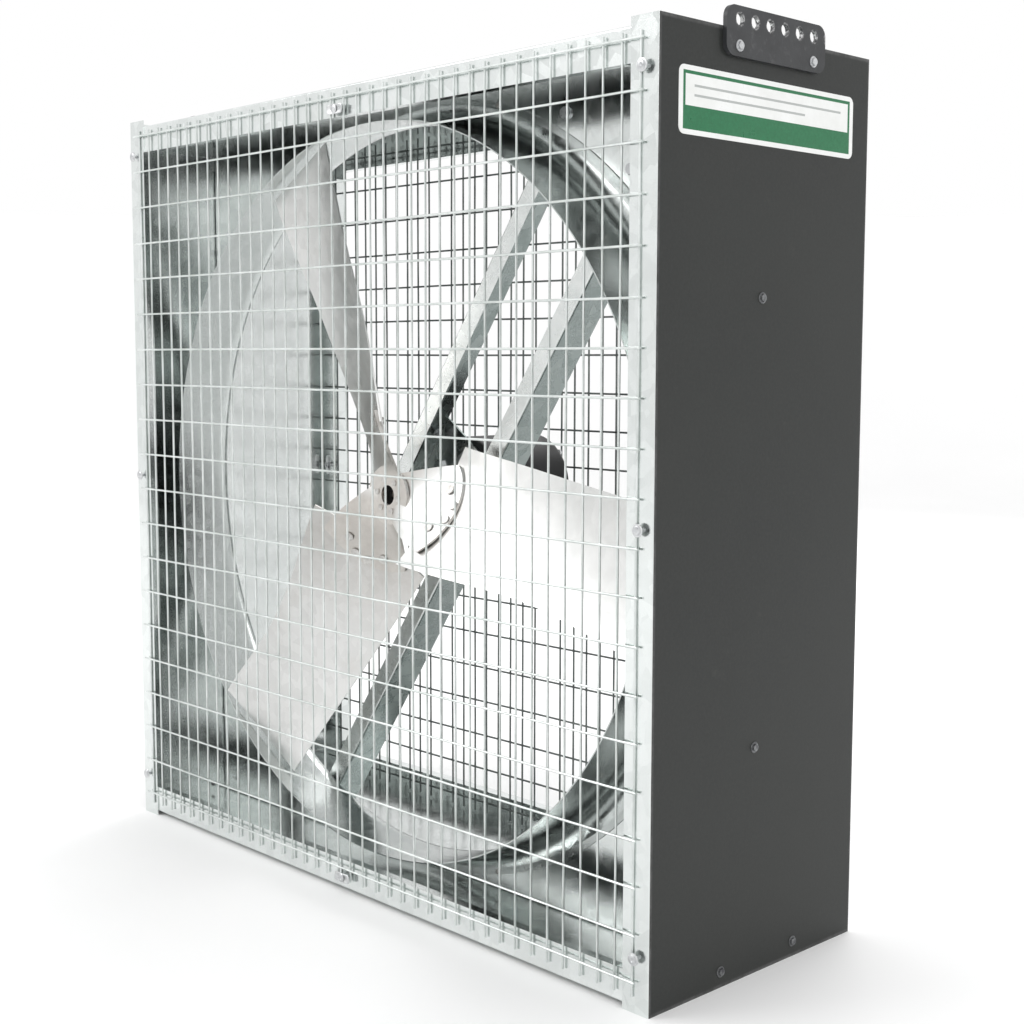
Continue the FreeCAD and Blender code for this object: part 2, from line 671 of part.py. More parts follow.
def mount_bolts():
    """Bolts through the plate skirts and strut webs, with nuts inside the webs."""
    places = mount_bolt_places()
    tilt = d("-strut_angle")
    outer = "strut_out + mount_t"
    fasteners("mount_bolts_upper", "XY", places,
              (outer, "bolt_hex_t", "bolt_hex"), (outer + " - 14", "14", "bolt"),
              on_axis=True, tilt=tilt)
    fasteners("mount_bolts_lower", "XY", places,
              ("-(" + outer + " + bolt_hex_t)", "bolt_hex_t", "bolt_hex"),
              ("-(" + outer + ")", "14", "bolt"), on_axis=True, tilt=tilt)
    body = new_body("mount_nuts", on_axis=True, tilt=tilt)
    for start in ("strut_out - strut_t - bolt_hex_t", "-(strut_out - strut_t)"):
        sketch = new_sketch(body, "XY", start)
        for x, y in places:
            hexagon(sketch, x, y, "bolt_hex")
            add_circle(sketch, x, y, "bolt_hole")
        extrude(body, sketch, "bolt_hex_t")
    fasteners("bell_bolts", "XZ", ring_positions("bell_bolt_circle", 4, 0.0),
              ("bell_front_y - mount_t - bolt_hex_t", "bolt_hex_t", "bolt_hex"),
              ("bell_front_y - mount_t", "mount_t + 9", "bolt"), on_axis=True, tilt=tilt)


# ---------------------------------------------------------------- motor

def motor_shell():
    """Rolled motor shell, open at both ends."""
    body = new_body("motor_shell", on_axis=True)
    turn(body, (
        ("shell_front_y", "motor_radius - shell_t"), ("shell_rear_y", "motor_radius - shell_t"),
        ("shell_rear_y", "motor_radius"), ("shell_front_y", "motor_radius")))
    return body


def bell(label, outline, bolt_from, slot_from, slot_depth, threaded):
    """End bell with a bearing seat, air slots and holes for the tie bolts."""
    body = new_body(label, on_axis=True)
    base = turn(body, outline)
    rim = value(d("motor_radius"))
    edge_y = value(d("bell_front_y" if threaded else "bell_rear_y"))
    body.Tip = round_edges(body, base, lambda e: is_circle(e, rim, edge_y), "6")
    sketch = new_sketch(body, "XZ", slot_from)
    add_box(sketch, "-5", "5", "boss_radius + 4", "boss_radius + 14")
    slot = extrude(body, sketch, slot_depth, cut=True)
    polar(body, [slot], sketch, 12)
    drill(body, "XZ", bolt_from, "30", ring_positions("tie_circle", 4, 45.0), "hole")
    if threaded:
        places = [strut_place(x, z) for x, z in ring_positions("bell_bolt_circle", 4, 0.0)]
        drill(body, "XZ", bolt_from, "12", places, "bolt_hole")
    return body


def motor_bells():
    """Front and rear end bells of the motor."""
    bell("motor_front_bell", (
        ("boss_front_y", "shaft_radius + 1"), ("front_bearing_y", "shaft_radius + 1"),
        ("front_bearing_y", "bearing_radius"), ("front_bearing_y + bearing_w + 3", "bearing_radius"),
        ("front_bearing_y + bearing_w + 3", "boss_radius"), ("bell_front_y + 10", "boss_radius"),
        ("bell_front_y + 10", "motor_radius - shell_t - 2"),
        ("shell_front_y + 6", "motor_radius - shell_t - 2"),
        ("shell_front_y + 6", "motor_radius - shell_t"), ("shell_front_y", "motor_radius - shell_t"),
        ("shell_front_y", "motor_radius"), ("bell_front_y", "motor_radius"),
        ("bell_front_y", "boss_radius"), ("boss_front_y", "boss_radius")),
        "bell_front_y - 1", "bell_front_y - 1", "13", True)
    bell("motor_rear_bell", (
        ("bell_rear_y", "shaft_radius + 1"), ("rear_bearing_y + bearing_w", "shaft_radius + 1"),
        ("rear_bearing_y + bearing_w", "bearing_radius"), ("rear_bearing_y - 2", "bearing_radius"),
        ("rear_bearing_y - 2", "boss_radius - 4"), ("bell_rear_y - 10", "boss_radius - 4"),
        ("bell_rear_y - 10", "motor_radius - shell_t - 2"),
        ("shell_rear_y - 6", "motor_radius - shell_t - 2"),
        ("shell_rear_y - 6", "motor_radius - shell_t"), ("shell_rear_y", "motor_radius - shell_t"),
        ("shell_rear_y", "motor_radius"), ("bell_rear_y", "motor_radius")),
        "bell_rear_y - 26", "bell_rear_y - 12", "14", False)


def bearings():
    """Two ball bearings: outer races in the bells, inner races and balls on the shaft."""
    starts = ("front_bearing_y", "rear_bearing_y")
    for label, inner, outer in (
            ("bearing_outer_races", "bearing_radius - race", "bearing_radius - 0.02"),
            ("bearing_inner_races", "shaft_radius + 0.02", "shaft_radius + race - 0.6")):
        body = new_body(label, on_axis=True)
        for start in starts:
            turn(body, (
                (start + " + 0.1", inner), (start + " + bearing_w - 0.1", inner),
                (start + " + bearing_w - 0.1", outer), (start + " + 0.1", outer)))
    body = new_body("bearing_balls", on_axis=True)
    for start in starts:
        sketch = new_sketch(body, "YZ")
        centre = start + " + bearing_w / 2"
        add_half_disc(sketch, centre, "ball_circle", "ball - 0.4")
        ball = body.newObject("PartDesign::Revolution", "ball")
        ball.Profile = sketch
        ball.ReferenceAxis = (sketch, ["Edge2"])
        ball.Angle = 360
        sketch.Visibility = False
        doc.recompute()
        spin = new_sketch(body, "XZ")
        polar(body, [ball], spin, 9)


def add_half_disc(sketch, x, y, radius):
    """Half disc whose flat side lies level, through the centre."""
    centre = Vector(value(d(x)), value(d(y)), 0)
    size = value(d(radius))
    circle = Part.Circle(centre, Vector(0, 0, 1), size)
    arc = sketch.addGeometry(Part.ArcOfCircle(circle, 0, 3.141592653589793), False)
    left = Vector(centre.x - size, centre.y, 0)
    right = Vector(centre.x + size, centre.y, 0)
    line = sketch.addGeometry(Part.LineSegment(left, right), False)
    sketch.addConstraint(Sketcher.Constraint("Coincident", arc, 2, line, 1))
    sketch.addConstraint(Sketcher.Constraint("Coincident", arc, 1, line, 2))
    bind(sketch, "DistanceX", arc, 3, x)
    bind(sketch, "DistanceY", arc, 3, y)
    bind(sketch, "DistanceY", line, 1, y)
    bind(sketch, "DistanceY", line, 2, y)
    rule = sketch.addConstraint(Sketcher.Constraint("Radius", arc, size))
    sketch.setExpression("Constraints[%d]" % rule, d(radius))


def motor_core():
    """Stator stack, its windings and the rotor core."""
    body = new_body("stator_core", on_axis=True)
    turn(body, (
        ("stator_front_y", "stator_bore"), ("stator_rear_y", "stator_bore"),
        ("stator_rear_y", "motor_radius - shell_t - 0.02"),
        ("stator_front_y", "motor_radius - shell_t - 0.02")))
    drill(body, "XZ", "stator_front_y - 1", "stator_rear_y - stator_front_y + 2",
          ring_positions("tie_circle", 4, 45.0), "tie_radius + 0.5")
    windings = new_body("stator_windings", on_axis=True)
    for start, finish in (("stator_front_y - 2 * winding_tube", "stator_front_y"),
                          ("stator_rear_y", "stator_rear_y + 2 * winding_tube")):
        coil = turn(windings, (
            (start, "winding_radius - winding_tube"), (finish, "winding_radius - winding_tube"),
            (finish, "winding_radius + winding_tube"), (start, "winding_radius + winding_tube")))
    free = (value(d("stator_front_y - 2 * winding_tube")), value(d("stator_rear_y + 2 * winding_tube")))
    windings.Tip = round_edges(
        windings, coil,
        lambda e: isinstance(e.Curve, Part.Circle)
        and min(abs(e.Curve.Center.y - free[0]), abs(e.Curve.Center.y - free[1])) < 0.01, "5")
    rotor = new_body("motor_rotor", on_axis=True)
    turn(rotor, (
        ("stator_front_y - 4", "shaft_radius + 0.02"), ("stator_rear_y + 4", "shaft_radius + 0.02"),
        ("stator_rear_y + 4", "rotor_radius - 5"), ("stator_rear_y", "rotor_radius"),
        ("stator_front_y", "rotor_radius"), ("stator_front_y - 4", "rotor_radius - 5")))


def motor_shaft():
    """Ground motor shaft that carries the hub at its front end."""
    body = new_body("fan_shaft", on_axis=True, tilt=d("90 - blade_angle"))
    turn(body, (
        ("shaft_front_y", "0"), ("shaft_rear_y", "0"), ("shaft_rear_y", "shaft_radius"),
        ("shaft_front_y + 1.5", "shaft_radius"), ("shaft_front_y", "shaft_radius - 1.5")))
    sketch = new_sketch(body, "XY", "shaft_radius - 1.2")
    add_box(sketch, "-shaft_radius", "shaft_radius", "shaft_front_y - 1", "hub_rear_y + 20")
    extrude(body, sketch, "4", cut=True)
    return body


def tie_bolts():
    """Through bolts that clamp both bells on the shell."""
    fasteners("motor_tie_bolts", "XZ", ring_positions("tie_circle", 4, 45.0),
              ("bell_rear_y", "hex_t", "4.4"),
              ("bell_front_y + 3", "bell_rear_y - bell_front_y - 3", "tie_radius"), on_axis=True)


def conduit_box():
    """Wiring box under the motor with a cover, its screws and a cord gland."""
    low = "-(motor_radius + box_drop)"
    box = new_body("conduit_box", on_axis=True)
    sketch = new_sketch(box, "XZ", "box_front_y")
    add_box(sketch, "-box_half", "box_half", low, "-(motor_radius - 12)")
    block = extrude(box, sketch, "box_rear_y - box_front_y")
    box.Tip = round_edges(box, block, lambda e: along(e, Vector(0, 1, 0)) and near(
        e, z=value(d(low))), "5")
    sketch = new_sketch(box, "XZ", "box_front_y + 2.5")
    add_box(sketch, "-(box_half - 2.5)", "box_half - 2.5", low + " + 2.5", "-(motor_radius - 12)")
    extrude(box, sketch, "box_rear_y - box_front_y", cut=True)
    sketch = new_sketch(box, "XZ", "box_front_y - 1")
    add_circle(sketch, "0", "0", "motor_radius + 0.3")
    extrude(box, sketch, "box_rear_y - box_front_y + 2", cut=True)
    drill(box, "YZ", "-(box_half + 1)", "5",
          [("(box_front_y + box_rear_y) / 2", "-(motor_radius + box_drop / 2)")],
          "gland_radius - 3")
    cover = new_body("conduit_cover", on_axis=True)
    sketch = new_sketch(cover, "XZ", "box_rear_y")
    add_box(sketch, "-(box_half + 1)", "box_half + 1", low + " - 1", "-(motor_radius + 3)")
    plate = extrude(cover, sketch, "1.5")
    cover.Tip = round_edges(cover, plate, lambda e: along(e, Vector(0, 1, 0)), "4")
    places = [(sign + "(box_half - 1.2)", "-(motor_radius + box_drop / 2)") for sign in ("-", "")]
    drill(cover, "XZ", "box_rear_y - 1", "4", places, "1.1")
    drill(box, "XZ", "box_rear_y - 8", "12", places, "0.9")
    fasteners("cover_screws", "XZ", places, ("box_rear_y + 1.5", "1.8", "3.4"),
              ("box_rear_y - 6", "7.5", "0.8"), on_axis=True, grip="round")
    gland = new_body("cord_gland", on_axis=True)
    place = ("(box_front_y + box_rear_y) / 2", "-(motor_radius + box_drop / 2)")
    for start, length, size in (("-(box_half + 14)", "14", "gland_radius"),
                                ("-box_half", "6", "gland_radius - 3.1")):
        sketch = new_sketch(gland, "YZ", start)
        if size == "gland_radius":
            hexagon(sketch, place[0], place[1], size)
        else:
            add_circle(sketch, place[0], place[1], size)
        extrude(gland, sketch, length)
    drill(gland, "YZ", "-(box_half + 15)", "24", [place], "4.5")


def nameplate():
    """Blank plate rolled to the motor shell."""
    body = new_body("motor_nameplate", on_axis=True, tilt=d("-45"))
    sketch = new_sketch(body, "YZ")
    add_box(sketch, "plate_front_y", "plate_rear_y", "motor_radius + 0.05", "motor_radius + 0.6")
    feature = body.newObject("PartDesign::Revolution", "roll")
    feature.Profile = sketch
    feature.ReferenceAxis = (sketch, ["H_Axis"])
    feature.Midplane = True
    feature.setExpression("Angle", d("2 * plate_half_angle"))
    sketch.Visibility = False
    doc.recompute()


# ---------------------------------------------------------------- hub and blades

def section_points(name, width, lift):
    """Ends of a cambered section: trailing and leading, lift mm ahead of the blade face.

    Sections are drawn for a blade that points up: the leading edge is at -X and deepest.
    """
    pitch = "(%s_pitch * 1 deg)" % name
    drop = "(camber_radius - sqrt(camber_radius * camber_radius - %s * %s / 4) + %s)" % (
        width, width, lift)
    points = []
    for side in ("-", ""):
        half = "(%s(%s) / 2)" % (side, width)
        x = "-%s_sweep - %s * sin(%s) - %s * cos(%s)" % (name, drop, pitch, half, pitch)
        y = "%s_depth - %s * cos(%s) + %s * sin(%s)" % (name, drop, pitch, half, pitch)
        points.append((x, y))
    return points


def add_section(sketch, name, thick, lift):
    """Cambered strip of constant thickness: two equal arcs joined by short ends."""
    width = name + "_chord"
    front = section_points(name, width, lift + " + " + thick)
    rear = section_points(name, width, lift)
    ends = [[Vector(value(d(x)), value(d(y)), 0) for x, y in side] for side in (front, rear)]
    middle = []
    for side, gap in ((front, lift + " + " + thick), (rear, lift)):
        pitch = "(%s_pitch * 1 deg)" % name
        x = "-%s_sweep - (%s) * sin(%s)" % (name, gap, pitch)
        y = "%s_depth - (%s) * cos(%s)" % (name, gap, pitch)
        middle.append(Vector(value(d(x)), value(d(y)), 0))
    first = sketch.GeometryCount
    sketch.addGeometry(Part.Arc(ends[0][0], middle[0], ends[0][1]), False)
    sketch.addGeometry(Part.LineSegment(ends[0][1], ends[1][1]), False)
    sketch.addGeometry(Part.Arc(ends[1][0], middle[1], ends[1][1]), False)
    sketch.addGeometry(Part.LineSegment(ends[1][0], ends[0][0]), False)
    pin_arc(sketch, first, front, ends[0])
    pin_arc(sketch, first + 2, rear, ends[1])
    join(sketch, first + 1, 1, ends[0][1], first)
    join(sketch, first + 1, 2, ends[1][1], first + 2)
    join(sketch, first + 3, 1, ends[1][0], first + 2)
    join(sketch, first + 3, 2, ends[0][0], first)


def pin_arc(sketch, arc, points, ends):
    """Holds an arc by both its ends and its radius."""
    for point, (x, y) in zip(ends, points):
        end = 1 if (sketch.getPoint(arc, 1) - point).Length < 0.001 else 2
        bind(sketch, "DistanceX", arc, end, x)
        bind(sketch, "DistanceY", arc, end, y)
    rule = sketch.addConstraint(Sketcher.Constraint("Radius", arc, value(d("camber_radius"))))
    sketch.setExpression("Constraints[%d]" % rule, d("camber_radius"))


def join(sketch, line, end, point, arc):
    """Joins the end of a line to the nearer end of an arc."""
    other = 1 if (sketch.getPoint(arc, 1) - point).Length < 0.001 else 2
    sketch.addConstraint(Sketcher.Constraint("Coincident", line, end, arc, other))


def loft(body, sections, thick, lift):
    """Smooth sheet through sections at their radii."""
    sketches = []
    for section in sections:
        sketch = new_sketch(body, "XY", section[0] + "_radius")
        add_section(sketch, section[0], thick, lift)
        sketches.append(sketch)
    doc.recompute()
    feature = body.newObject("PartDesign::AdditiveLoft", body.Name + "_loft")
    feature.Profile = sketches[0]
    feature.Sections = sketches[1:]
    feature.Ruled = False
    for sketch in sketches:
        sketch.Visibility = False
    doc.recompute()
    return feature


def rivet_sketch(body, at):
    """Sketch square to the blade face at the root rivets, with a circle at each of them."""
    sketch = new_sketch(body, "XZ")
    sketch.setExpression("AttachmentOffset.Base.z", None)
    sketch.AttachmentOffset = Placement(Vector(), Rotation(Vector(0, -1, 0), 10))
    sketch.setExpression("AttachmentOffset.Rotation.Angle", d("arm_seat_pitch"))
    sketch.setExpression("AttachmentOffset.Base.x", seat_shift("sin", at))
    sketch.setExpression("AttachmentOffset.Base.z", seat_shift("cos", at))
    return sketch


def seat_shift(part, at):
    """Move along the face normal at the arm seat, in the sketch's own directions."""
    pitch = "(arm_seat_pitch * 1 deg)"
    if part == "sin":
        return d("-arm_seat_sweep + (%s) * sin(%s)" % (at, pitch))
    return d("-arm_seat_depth - (%s) * cos(%s)" % (at, pitch))


# distance across the arm, radius, and the faces the heads sit on ahead and behind
RIVET_PAIRS = (
    ("rivet_across", "rivet_z", "near_front", "near_rear"),
    ("rivet_out", "rivet_z + rivet_step", "far_front", "far_rear"),
)


def blade(label, number):
    """One cambered, twisted blade with its tip cut round and its root cut straight."""
    angle = "90 - blade_angle + %d" % (120 * number)
    body = new_body(label, on_axis=True, tilt=d(angle))
    loft(body, SECTIONS, "blade_t", "-blade_t")
    trim = new_sketch(body, "XZ", "-50")
    add_circle(trim, "0", "0", "blade_reach")
    add_circle(trim, "0", "0", "blade_reach + 120")
    extrude(body, trim, "300", cut=True)
    root = new_sketch(body, "XZ", "-50")
    add_box(root, "-150", "150", "0", "root_z")
    extrude(body, root, "300", cut=True)
    rivet_cut(body, "rivet + 0.12")
    return body


def rivet_cut(body, radius):
    """Rivet holes square to the face of the blade root."""
    sketch = rivet_sketch(body, "-30")
    for x, z, front, rear in RIVET_PAIRS:
        add_circle(sketch, "-" + x, z, radius)
        add_circle(sketch, x, z, radius)
    feature = body.newObject("PartDesign::Pocket", body.Name + "_rivet_holes")
    feature.Profile = sketch
    feature.Length = 60
    sketch.Visibility = False
    doc.recompute()
    return feature


def add_arm_end(sketch):
    """Area beyond the rounded end of an arm: a box with a half disc taken out of its base."""
    size = value(d("arm_round"))
    middle = value(d("arm_centre"))
    circle = Part.Circle(Vector(0, middle, 0), Vector(0, 0, 1), size)
    sketch.addGeometry(Part.ArcOfCircle(circle, 0, 3.141592653589793), False)
    bind(sketch, "DistanceX", 0, 3, "0")
    bind(sketch, "DistanceY", 0, 3, "arm_centre")
    rule = sketch.addConstraint(Sketcher.Constraint("Radius", 0, size))
    sketch.setExpression("Constraints[%d]" % rule, d("arm_round"))
    outside = (("130", "arm_centre"), ("130", "200"), ("-130", "200"), ("-130", "arm_centre"))
    corners = [Vector(value(d(x)), value(d(y)), 0) for x, y in outside]
    stops = [Vector(size, middle, 0)] + corners + [Vector(-size, middle, 0)]
    for start, finish in zip(stops[:-1], stops[1:]):
        sketch.addGeometry(Part.LineSegment(start, finish), False)
    for line, (x, y) in enumerate(outside, start=2):
        sketch.addConstraint(Sketcher.Constraint("Coincident", line - 1, 2, line, 1))
        bind(sketch, "DistanceX", line, 1, x)
        bind(sketch, "DistanceY", line, 1, y)
    sketch.addConstraint(Sketcher.Constraint("Coincident", 0, 1, 1, 1))
    sketch.addConstraint(Sketcher.Constraint("Coincident", 0, 2, 5, 2))
    bind(sketch, "DistanceY", 1, 1, "arm_centre")
    bind(sketch, "DistanceY", 5, 2, "arm_centre")


def spider():
    """Pressed plate with three arms that lie on the front of the blades."""
    body = new_body("hub_spider", on_axis=True, tilt=d("90 - blade_angle"))
    arm = loft(body, ARM_SECTIONS, "spider_t", "arm_gap")
    sketch = new_sketch(body, "XZ", "-50")
    add_arm_end(sketch)
    end = extrude(body, sketch, "300", cut=True)
    holes = rivet_cut(body, "rivet + 0.12")
    centre_sketch = new_sketch(body, "XZ", "spider_y")
    add_circle(centre_sketch, "0", "0", "spider_radius")
    polar(body, [arm, end, holes], centre_sketch, 3)
    extrude(body, centre_sketch, "spider_t")
    sketch = new_sketch(body, "XZ", "spider_y - 20")
    add_circle(sketch, "0", "0", "hub_mouth")
    extrude(body, sketch, "60", cut=True)
    drill(body, "XZ", "spider_y - 20", "50", ring_positions("hub_rivet_circle", 6, 30.0), "hole")
    sketch = new_sketch(body, "XZ", "hub_flange_y - 0.3")
    add_circle(sketch, "0", "0", "hub_flange_radius + 0.5")
    extrude(body, sketch, "40", cut=True)
    return body


def blade_rivets():
    """Rivets square to the blade root, four in each arm."""
    body = new_body("blade_rivets", on_axis=True, tilt=d("90 - blade_angle"))
    made = []
    for x, z, front, rear in RIVET_PAIRS:
        stages = (("-(%s + rivet_head_t)" % front, "rivet_head_t", "rivet_head"),
                  ("-" + front, "%s + %s" % (front, rear), "rivet"),
                  (rear, "rivet_head_t", "rivet_head * 0.8"))
        for at, length, size in stages:
            sketch = rivet_sketch(body, at)
            add_circle(sketch, "-" + x, z, size)
            add_circle(sketch, x, z, size)
            feature = body.newObject("PartDesign::Pad", body.Name + "_pad")
            feature.Profile = sketch
            feature.setExpression("Length", d(length))
            feature.Reversed = True
            sketch.Visibility = False
            doc.recompute()
            made.append(feature)
    spin = new_sketch(body, "XZ")
    polar(body, made, spin, 3)


def hub():
    """Flanged iron hub, its set screw and the rivets that hold the spider on it."""
    body = new_body("hub_barrel", on_axis=True, tilt=d("90 - blade_angle"))
    turn(body, (
        ("hub_flange_y", "hub_mouth"), ("shaft_front_y - 2", "hub_mouth"),
        ("shaft_front_y - 2", "shaft_radius + 0.02"), ("hub_rear_y", "shaft_radius + 0.02"),
        ("hub_rear_y", "hub_radius - 2"), ("hub_rear_y - 2", "hub_radius"),
        ("hub_flange_y + hub_flange_t", "hub_radius"),
        ("hub_flange_y + hub_flange_t", "hub_flange_radius"),
        ("hub_flange_y", "hub_flange_radius")))
    drill(body, "XY", "0", "hub_radius + 5", [("0", "hub_rear_y - 14")], "screw_set + 0.1")
    drill(body, "XZ", "hub_flange_y - 1", "hub_flange_t + 3",
          ring_positions("hub_rivet_circle", 6, 30.0), "hole")
    screw = new_body("hub_set_screw", on_axis=True, tilt=d("90 - blade_angle"))
    sketch = new_sketch(screw, "XY", "shaft_radius - 1.15")
    add_circle(sketch, "0", "hub_rear_y - 14", "screw_set")
    extrude(screw, sketch, "hub_radius - shaft_radius + 2.5")
    sketch = new_sketch(screw, "XY", "hub_radius - 3")
    hexagon(sketch, "0", "hub_rear_y - 14", "2.3")
    extrude(screw, sketch, "6", cut=True)
    fasteners("hub_rivets", "XZ", ring_positions("hub_rivet_circle", 6, 30.0),
              ("spider_y - 1.3", "1.3", "4"), ("spider_y", "hub_flange_y - spider_y + 5.5", "shank"),
              on_axis=True, tilt=d("90 - blade_angle"), grip="round")
    return body


# ---------------------------------------------------------------- hangers and label

def hanger(label, sign):
    """Flat bracket with a row of holes, standing above the side panel."""
    body = new_body(label)
    start = "-(house_w / 2 + hanger_t)" if sign == "-" else "house_w / 2"
    sketch = new_sketch(body, "YZ", start)
    add_box(sketch, "hanger_y - hanger_w / 2", "hanger_y + hanger_w / 2", "hanger_low", "hanger_high")
    plate = extrude(body, sketch, "hanger_t")
    body.Tip = round_edges(body, plate, lambda e: along(e, Vector(1, 0, 0)), "hanger_round")
    drill(body, "YZ", start, "hanger_t", (
        ("hanger_y - hanger_screw", "hanger_screw_z"),
        ("hanger_y + hanger_screw", "hanger_screw_z")), "hole")
    sketch = new_sketch(body, "YZ", start)
    add_circle(sketch, "hanger_y - (hanger_holes - 1) * hanger_pitch / 2", "hanger_hole_z",
               "hanger_hole")
    hole = extrude(body, sketch, "hanger_t", cut=True)
    in_line(body, hole, sketch, "H_Axis", "hanger_holes", "hanger_pitch")
    return body


def side_label():
    """Rectangular film label with rounded corners, on the right side panel."""
    body = new_body("side_label")
    sketch = new_sketch(body, "YZ", "house_w / 2")
    add_box(sketch, "label_front", "label_rear", "label_low", "label_high")
    plate = extrude(body, sketch, "label_t")
    body.Tip = round_edges(body, plate, lambda e: along(e, Vector(1, 0, 0)), "label_round")


def check_and_write():
    """Stop on any failed feature or broken solid, then write one file for each part."""
    doc.recompute()
    for item in doc.Objects:
        if "Invalid" in item.State or "Error" in item.State:
            raise RuntimeError("%s failed: %s" % (item.Name, item.State))
    os.makedirs("parts", exist_ok=True)
    for node in nodes:
        if node.Shape.isNull() or not node.Shape.isValid() or not node.Shape.Solids:
            raise RuntimeError("%s has no valid solid" % node.Label)
        node.Shape.exportStep("parts/%s.step" % node.Label)
        box = node.Shape.BoundBox
        print("%-22s %3d solids %12.1f mm3  x %.1f %.1f  y %.1f %.1f  z %.1f %.1f" % (
            node.Label, len(node.Shape.Solids), node.Shape.Volume,
            box.XMin, box.XMax, box.YMin, box.YMax, box.ZMin, box.ZMax))


fill_sheet()
side_panel("side_panel_left", "-")
side_panel("side_panel_right", "")
end_panel("top_panel", "top_z", "1")
end_panel("bottom_panel", "base_z", "-1")
orifice_panel()
venturi_ring()
front_guard()
rear_guard()
clips("front_guard_clips", front_clip_places(), "-(4 * wire + 3 * wire_gap + clip_t)")
clips("rear_guard_clips", rear_clip_places(),
      "depth - sheet - rear_lip - 4 * wire - 3 * wire_gap - clip_t")
guard_screws()
wall_screws()
hanger_screws()
ring_rivets()
strut("strut_upper", "")
strut("strut_lower", "-")
strut_bolts()
motor_mount()
mount_bolts()
motor_shell()
motor_bells()
bearings()
motor_core()
motor_shaft()
tie_bolts()
conduit_box()
nameplate()
blade("blade_1", 0)
blade("blade_2", 1)
blade("blade_3", 2)
spider()
blade_rivets()
hub()
hanger("hanging_bracket_left", "-")
hanger("hanging_bracket_right", "")
side_label()
check_and_write()
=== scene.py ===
"""Looks of the 36 inch box exhaust fan: procedural materials, detailed guards and fasteners."""
import json
import math
import random
import bmesh
import bpy
from mathutils import Matrix, Vector


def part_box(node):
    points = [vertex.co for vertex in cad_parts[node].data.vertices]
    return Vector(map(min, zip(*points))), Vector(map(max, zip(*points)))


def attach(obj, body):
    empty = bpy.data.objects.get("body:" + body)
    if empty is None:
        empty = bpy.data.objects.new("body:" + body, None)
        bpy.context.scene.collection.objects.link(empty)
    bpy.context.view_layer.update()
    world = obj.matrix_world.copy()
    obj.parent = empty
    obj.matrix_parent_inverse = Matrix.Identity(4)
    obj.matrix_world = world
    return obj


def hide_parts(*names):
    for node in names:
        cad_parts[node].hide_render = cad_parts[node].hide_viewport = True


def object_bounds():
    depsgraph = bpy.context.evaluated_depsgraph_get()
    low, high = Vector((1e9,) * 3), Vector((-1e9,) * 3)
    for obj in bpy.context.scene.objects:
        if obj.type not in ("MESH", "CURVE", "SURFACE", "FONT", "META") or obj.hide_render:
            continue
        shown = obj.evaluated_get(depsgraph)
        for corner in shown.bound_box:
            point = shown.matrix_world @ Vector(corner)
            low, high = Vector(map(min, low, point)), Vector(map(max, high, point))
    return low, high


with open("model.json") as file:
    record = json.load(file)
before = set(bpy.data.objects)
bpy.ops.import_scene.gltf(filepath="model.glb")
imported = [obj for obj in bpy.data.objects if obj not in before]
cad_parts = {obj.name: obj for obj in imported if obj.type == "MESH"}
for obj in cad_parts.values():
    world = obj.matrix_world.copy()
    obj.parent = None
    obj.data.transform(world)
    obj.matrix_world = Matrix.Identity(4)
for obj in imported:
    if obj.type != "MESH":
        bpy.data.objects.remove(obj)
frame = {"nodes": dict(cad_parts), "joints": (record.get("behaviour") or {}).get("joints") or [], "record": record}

CAD_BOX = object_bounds()
NODES = frame["nodes"]
AXIS_Z = frame["joints"][0]["pos_m"][2]     # height of the rotor's axis
random.seed(36)

# The lightest and darkest crystals of the housing's and the orifice panel's sheet.
SHEET_LIGHT = (0.84, 0.87, 0.86)
SHEET_DARK = (0.66, 0.69, 0.68)

# Where a finish starts and stops, in metres.
FILM_START = 0.50745            # the side panels' dark film, out from the middle of the fan
EDGE_RUB = (0.0022, 0.0045)     # all and none of the wear, from a panel's edge
HOLE_RUB = (0.0066, 0.0080)     # all and none of the wear, from a bracket hole's centre
HUB_FILM = (0.07, 0.26)         # all and none of the warm film, from the rotor's axis

# The hanging bracket's row of holes.
HOLE_PITCH = 0.0254
HOLE_COUNT = 6
HOLE_DROP = 0.0135              # hole centres below the bracket's top

# Motor patterns along the axis, per metre.
LAMINATIONS = 1600.0
WINDING_WAVES = 5200.0          # radians

# Fasteners: head heights, flange and shank radii, in metres.
SCREW_HEAD = 0.0032
SIDE_FLANGE = 0.0062
REAR_FLANGE = 0.0070
SHANK = 0.0024
THREAD_PITCH = 0.0014
PAN_HEAD = 0.0012
BOLT_HEAD = 0.0050
BOLT_SHANK = 0.0040
RIVET_HEAD = 0.0014

# Outlines of turned heads: radius and height above the seat, in metres.
PAN_OUTLINE = ((0.0054, 0.0), (0.0054, 0.0003), (0.0049, 0.0008), (0.0036, 0.0011),
               (0.0022, PAN_HEAD), (0.0016, 0.0007), (0.0, 0.0006))
BOLT_WASHER_OUTLINE = ((0.0078, 0.0), (0.0078, 0.0008), (0.0070, 0.0011))
RIVET_OUTLINE = ((0.0036, 0.0), (0.0035, 0.0005), (0.0028, 0.0010), (0.0016, 0.00135),
                 (0.0007, RIVET_HEAD), (0.0005, 0.0008), (0.0, 0.0008))

# Guard wires.
WIRE_SIDES = 10
WIRE_STEPS = 16
COLUMN_BEND = 0.0004            # most that a wire strays from straight
ROW_BEND = 0.0003

# Points round a hexagon head, a multiple of 6, and round a clip.
HEX_POINTS = 24
CLIP_POINTS = 32

CAD_CREASE = math.radians(28.0)         # edges sharper than these stay crisp
PIECE_CREASE = math.radians(35.0)

FLOOR_REACH = 6.0
FLOOR_CURVE = 1.5
FLOOR_STEPS = 6
FLOOR_WHITE = (0.96, 0.96, 0.96)

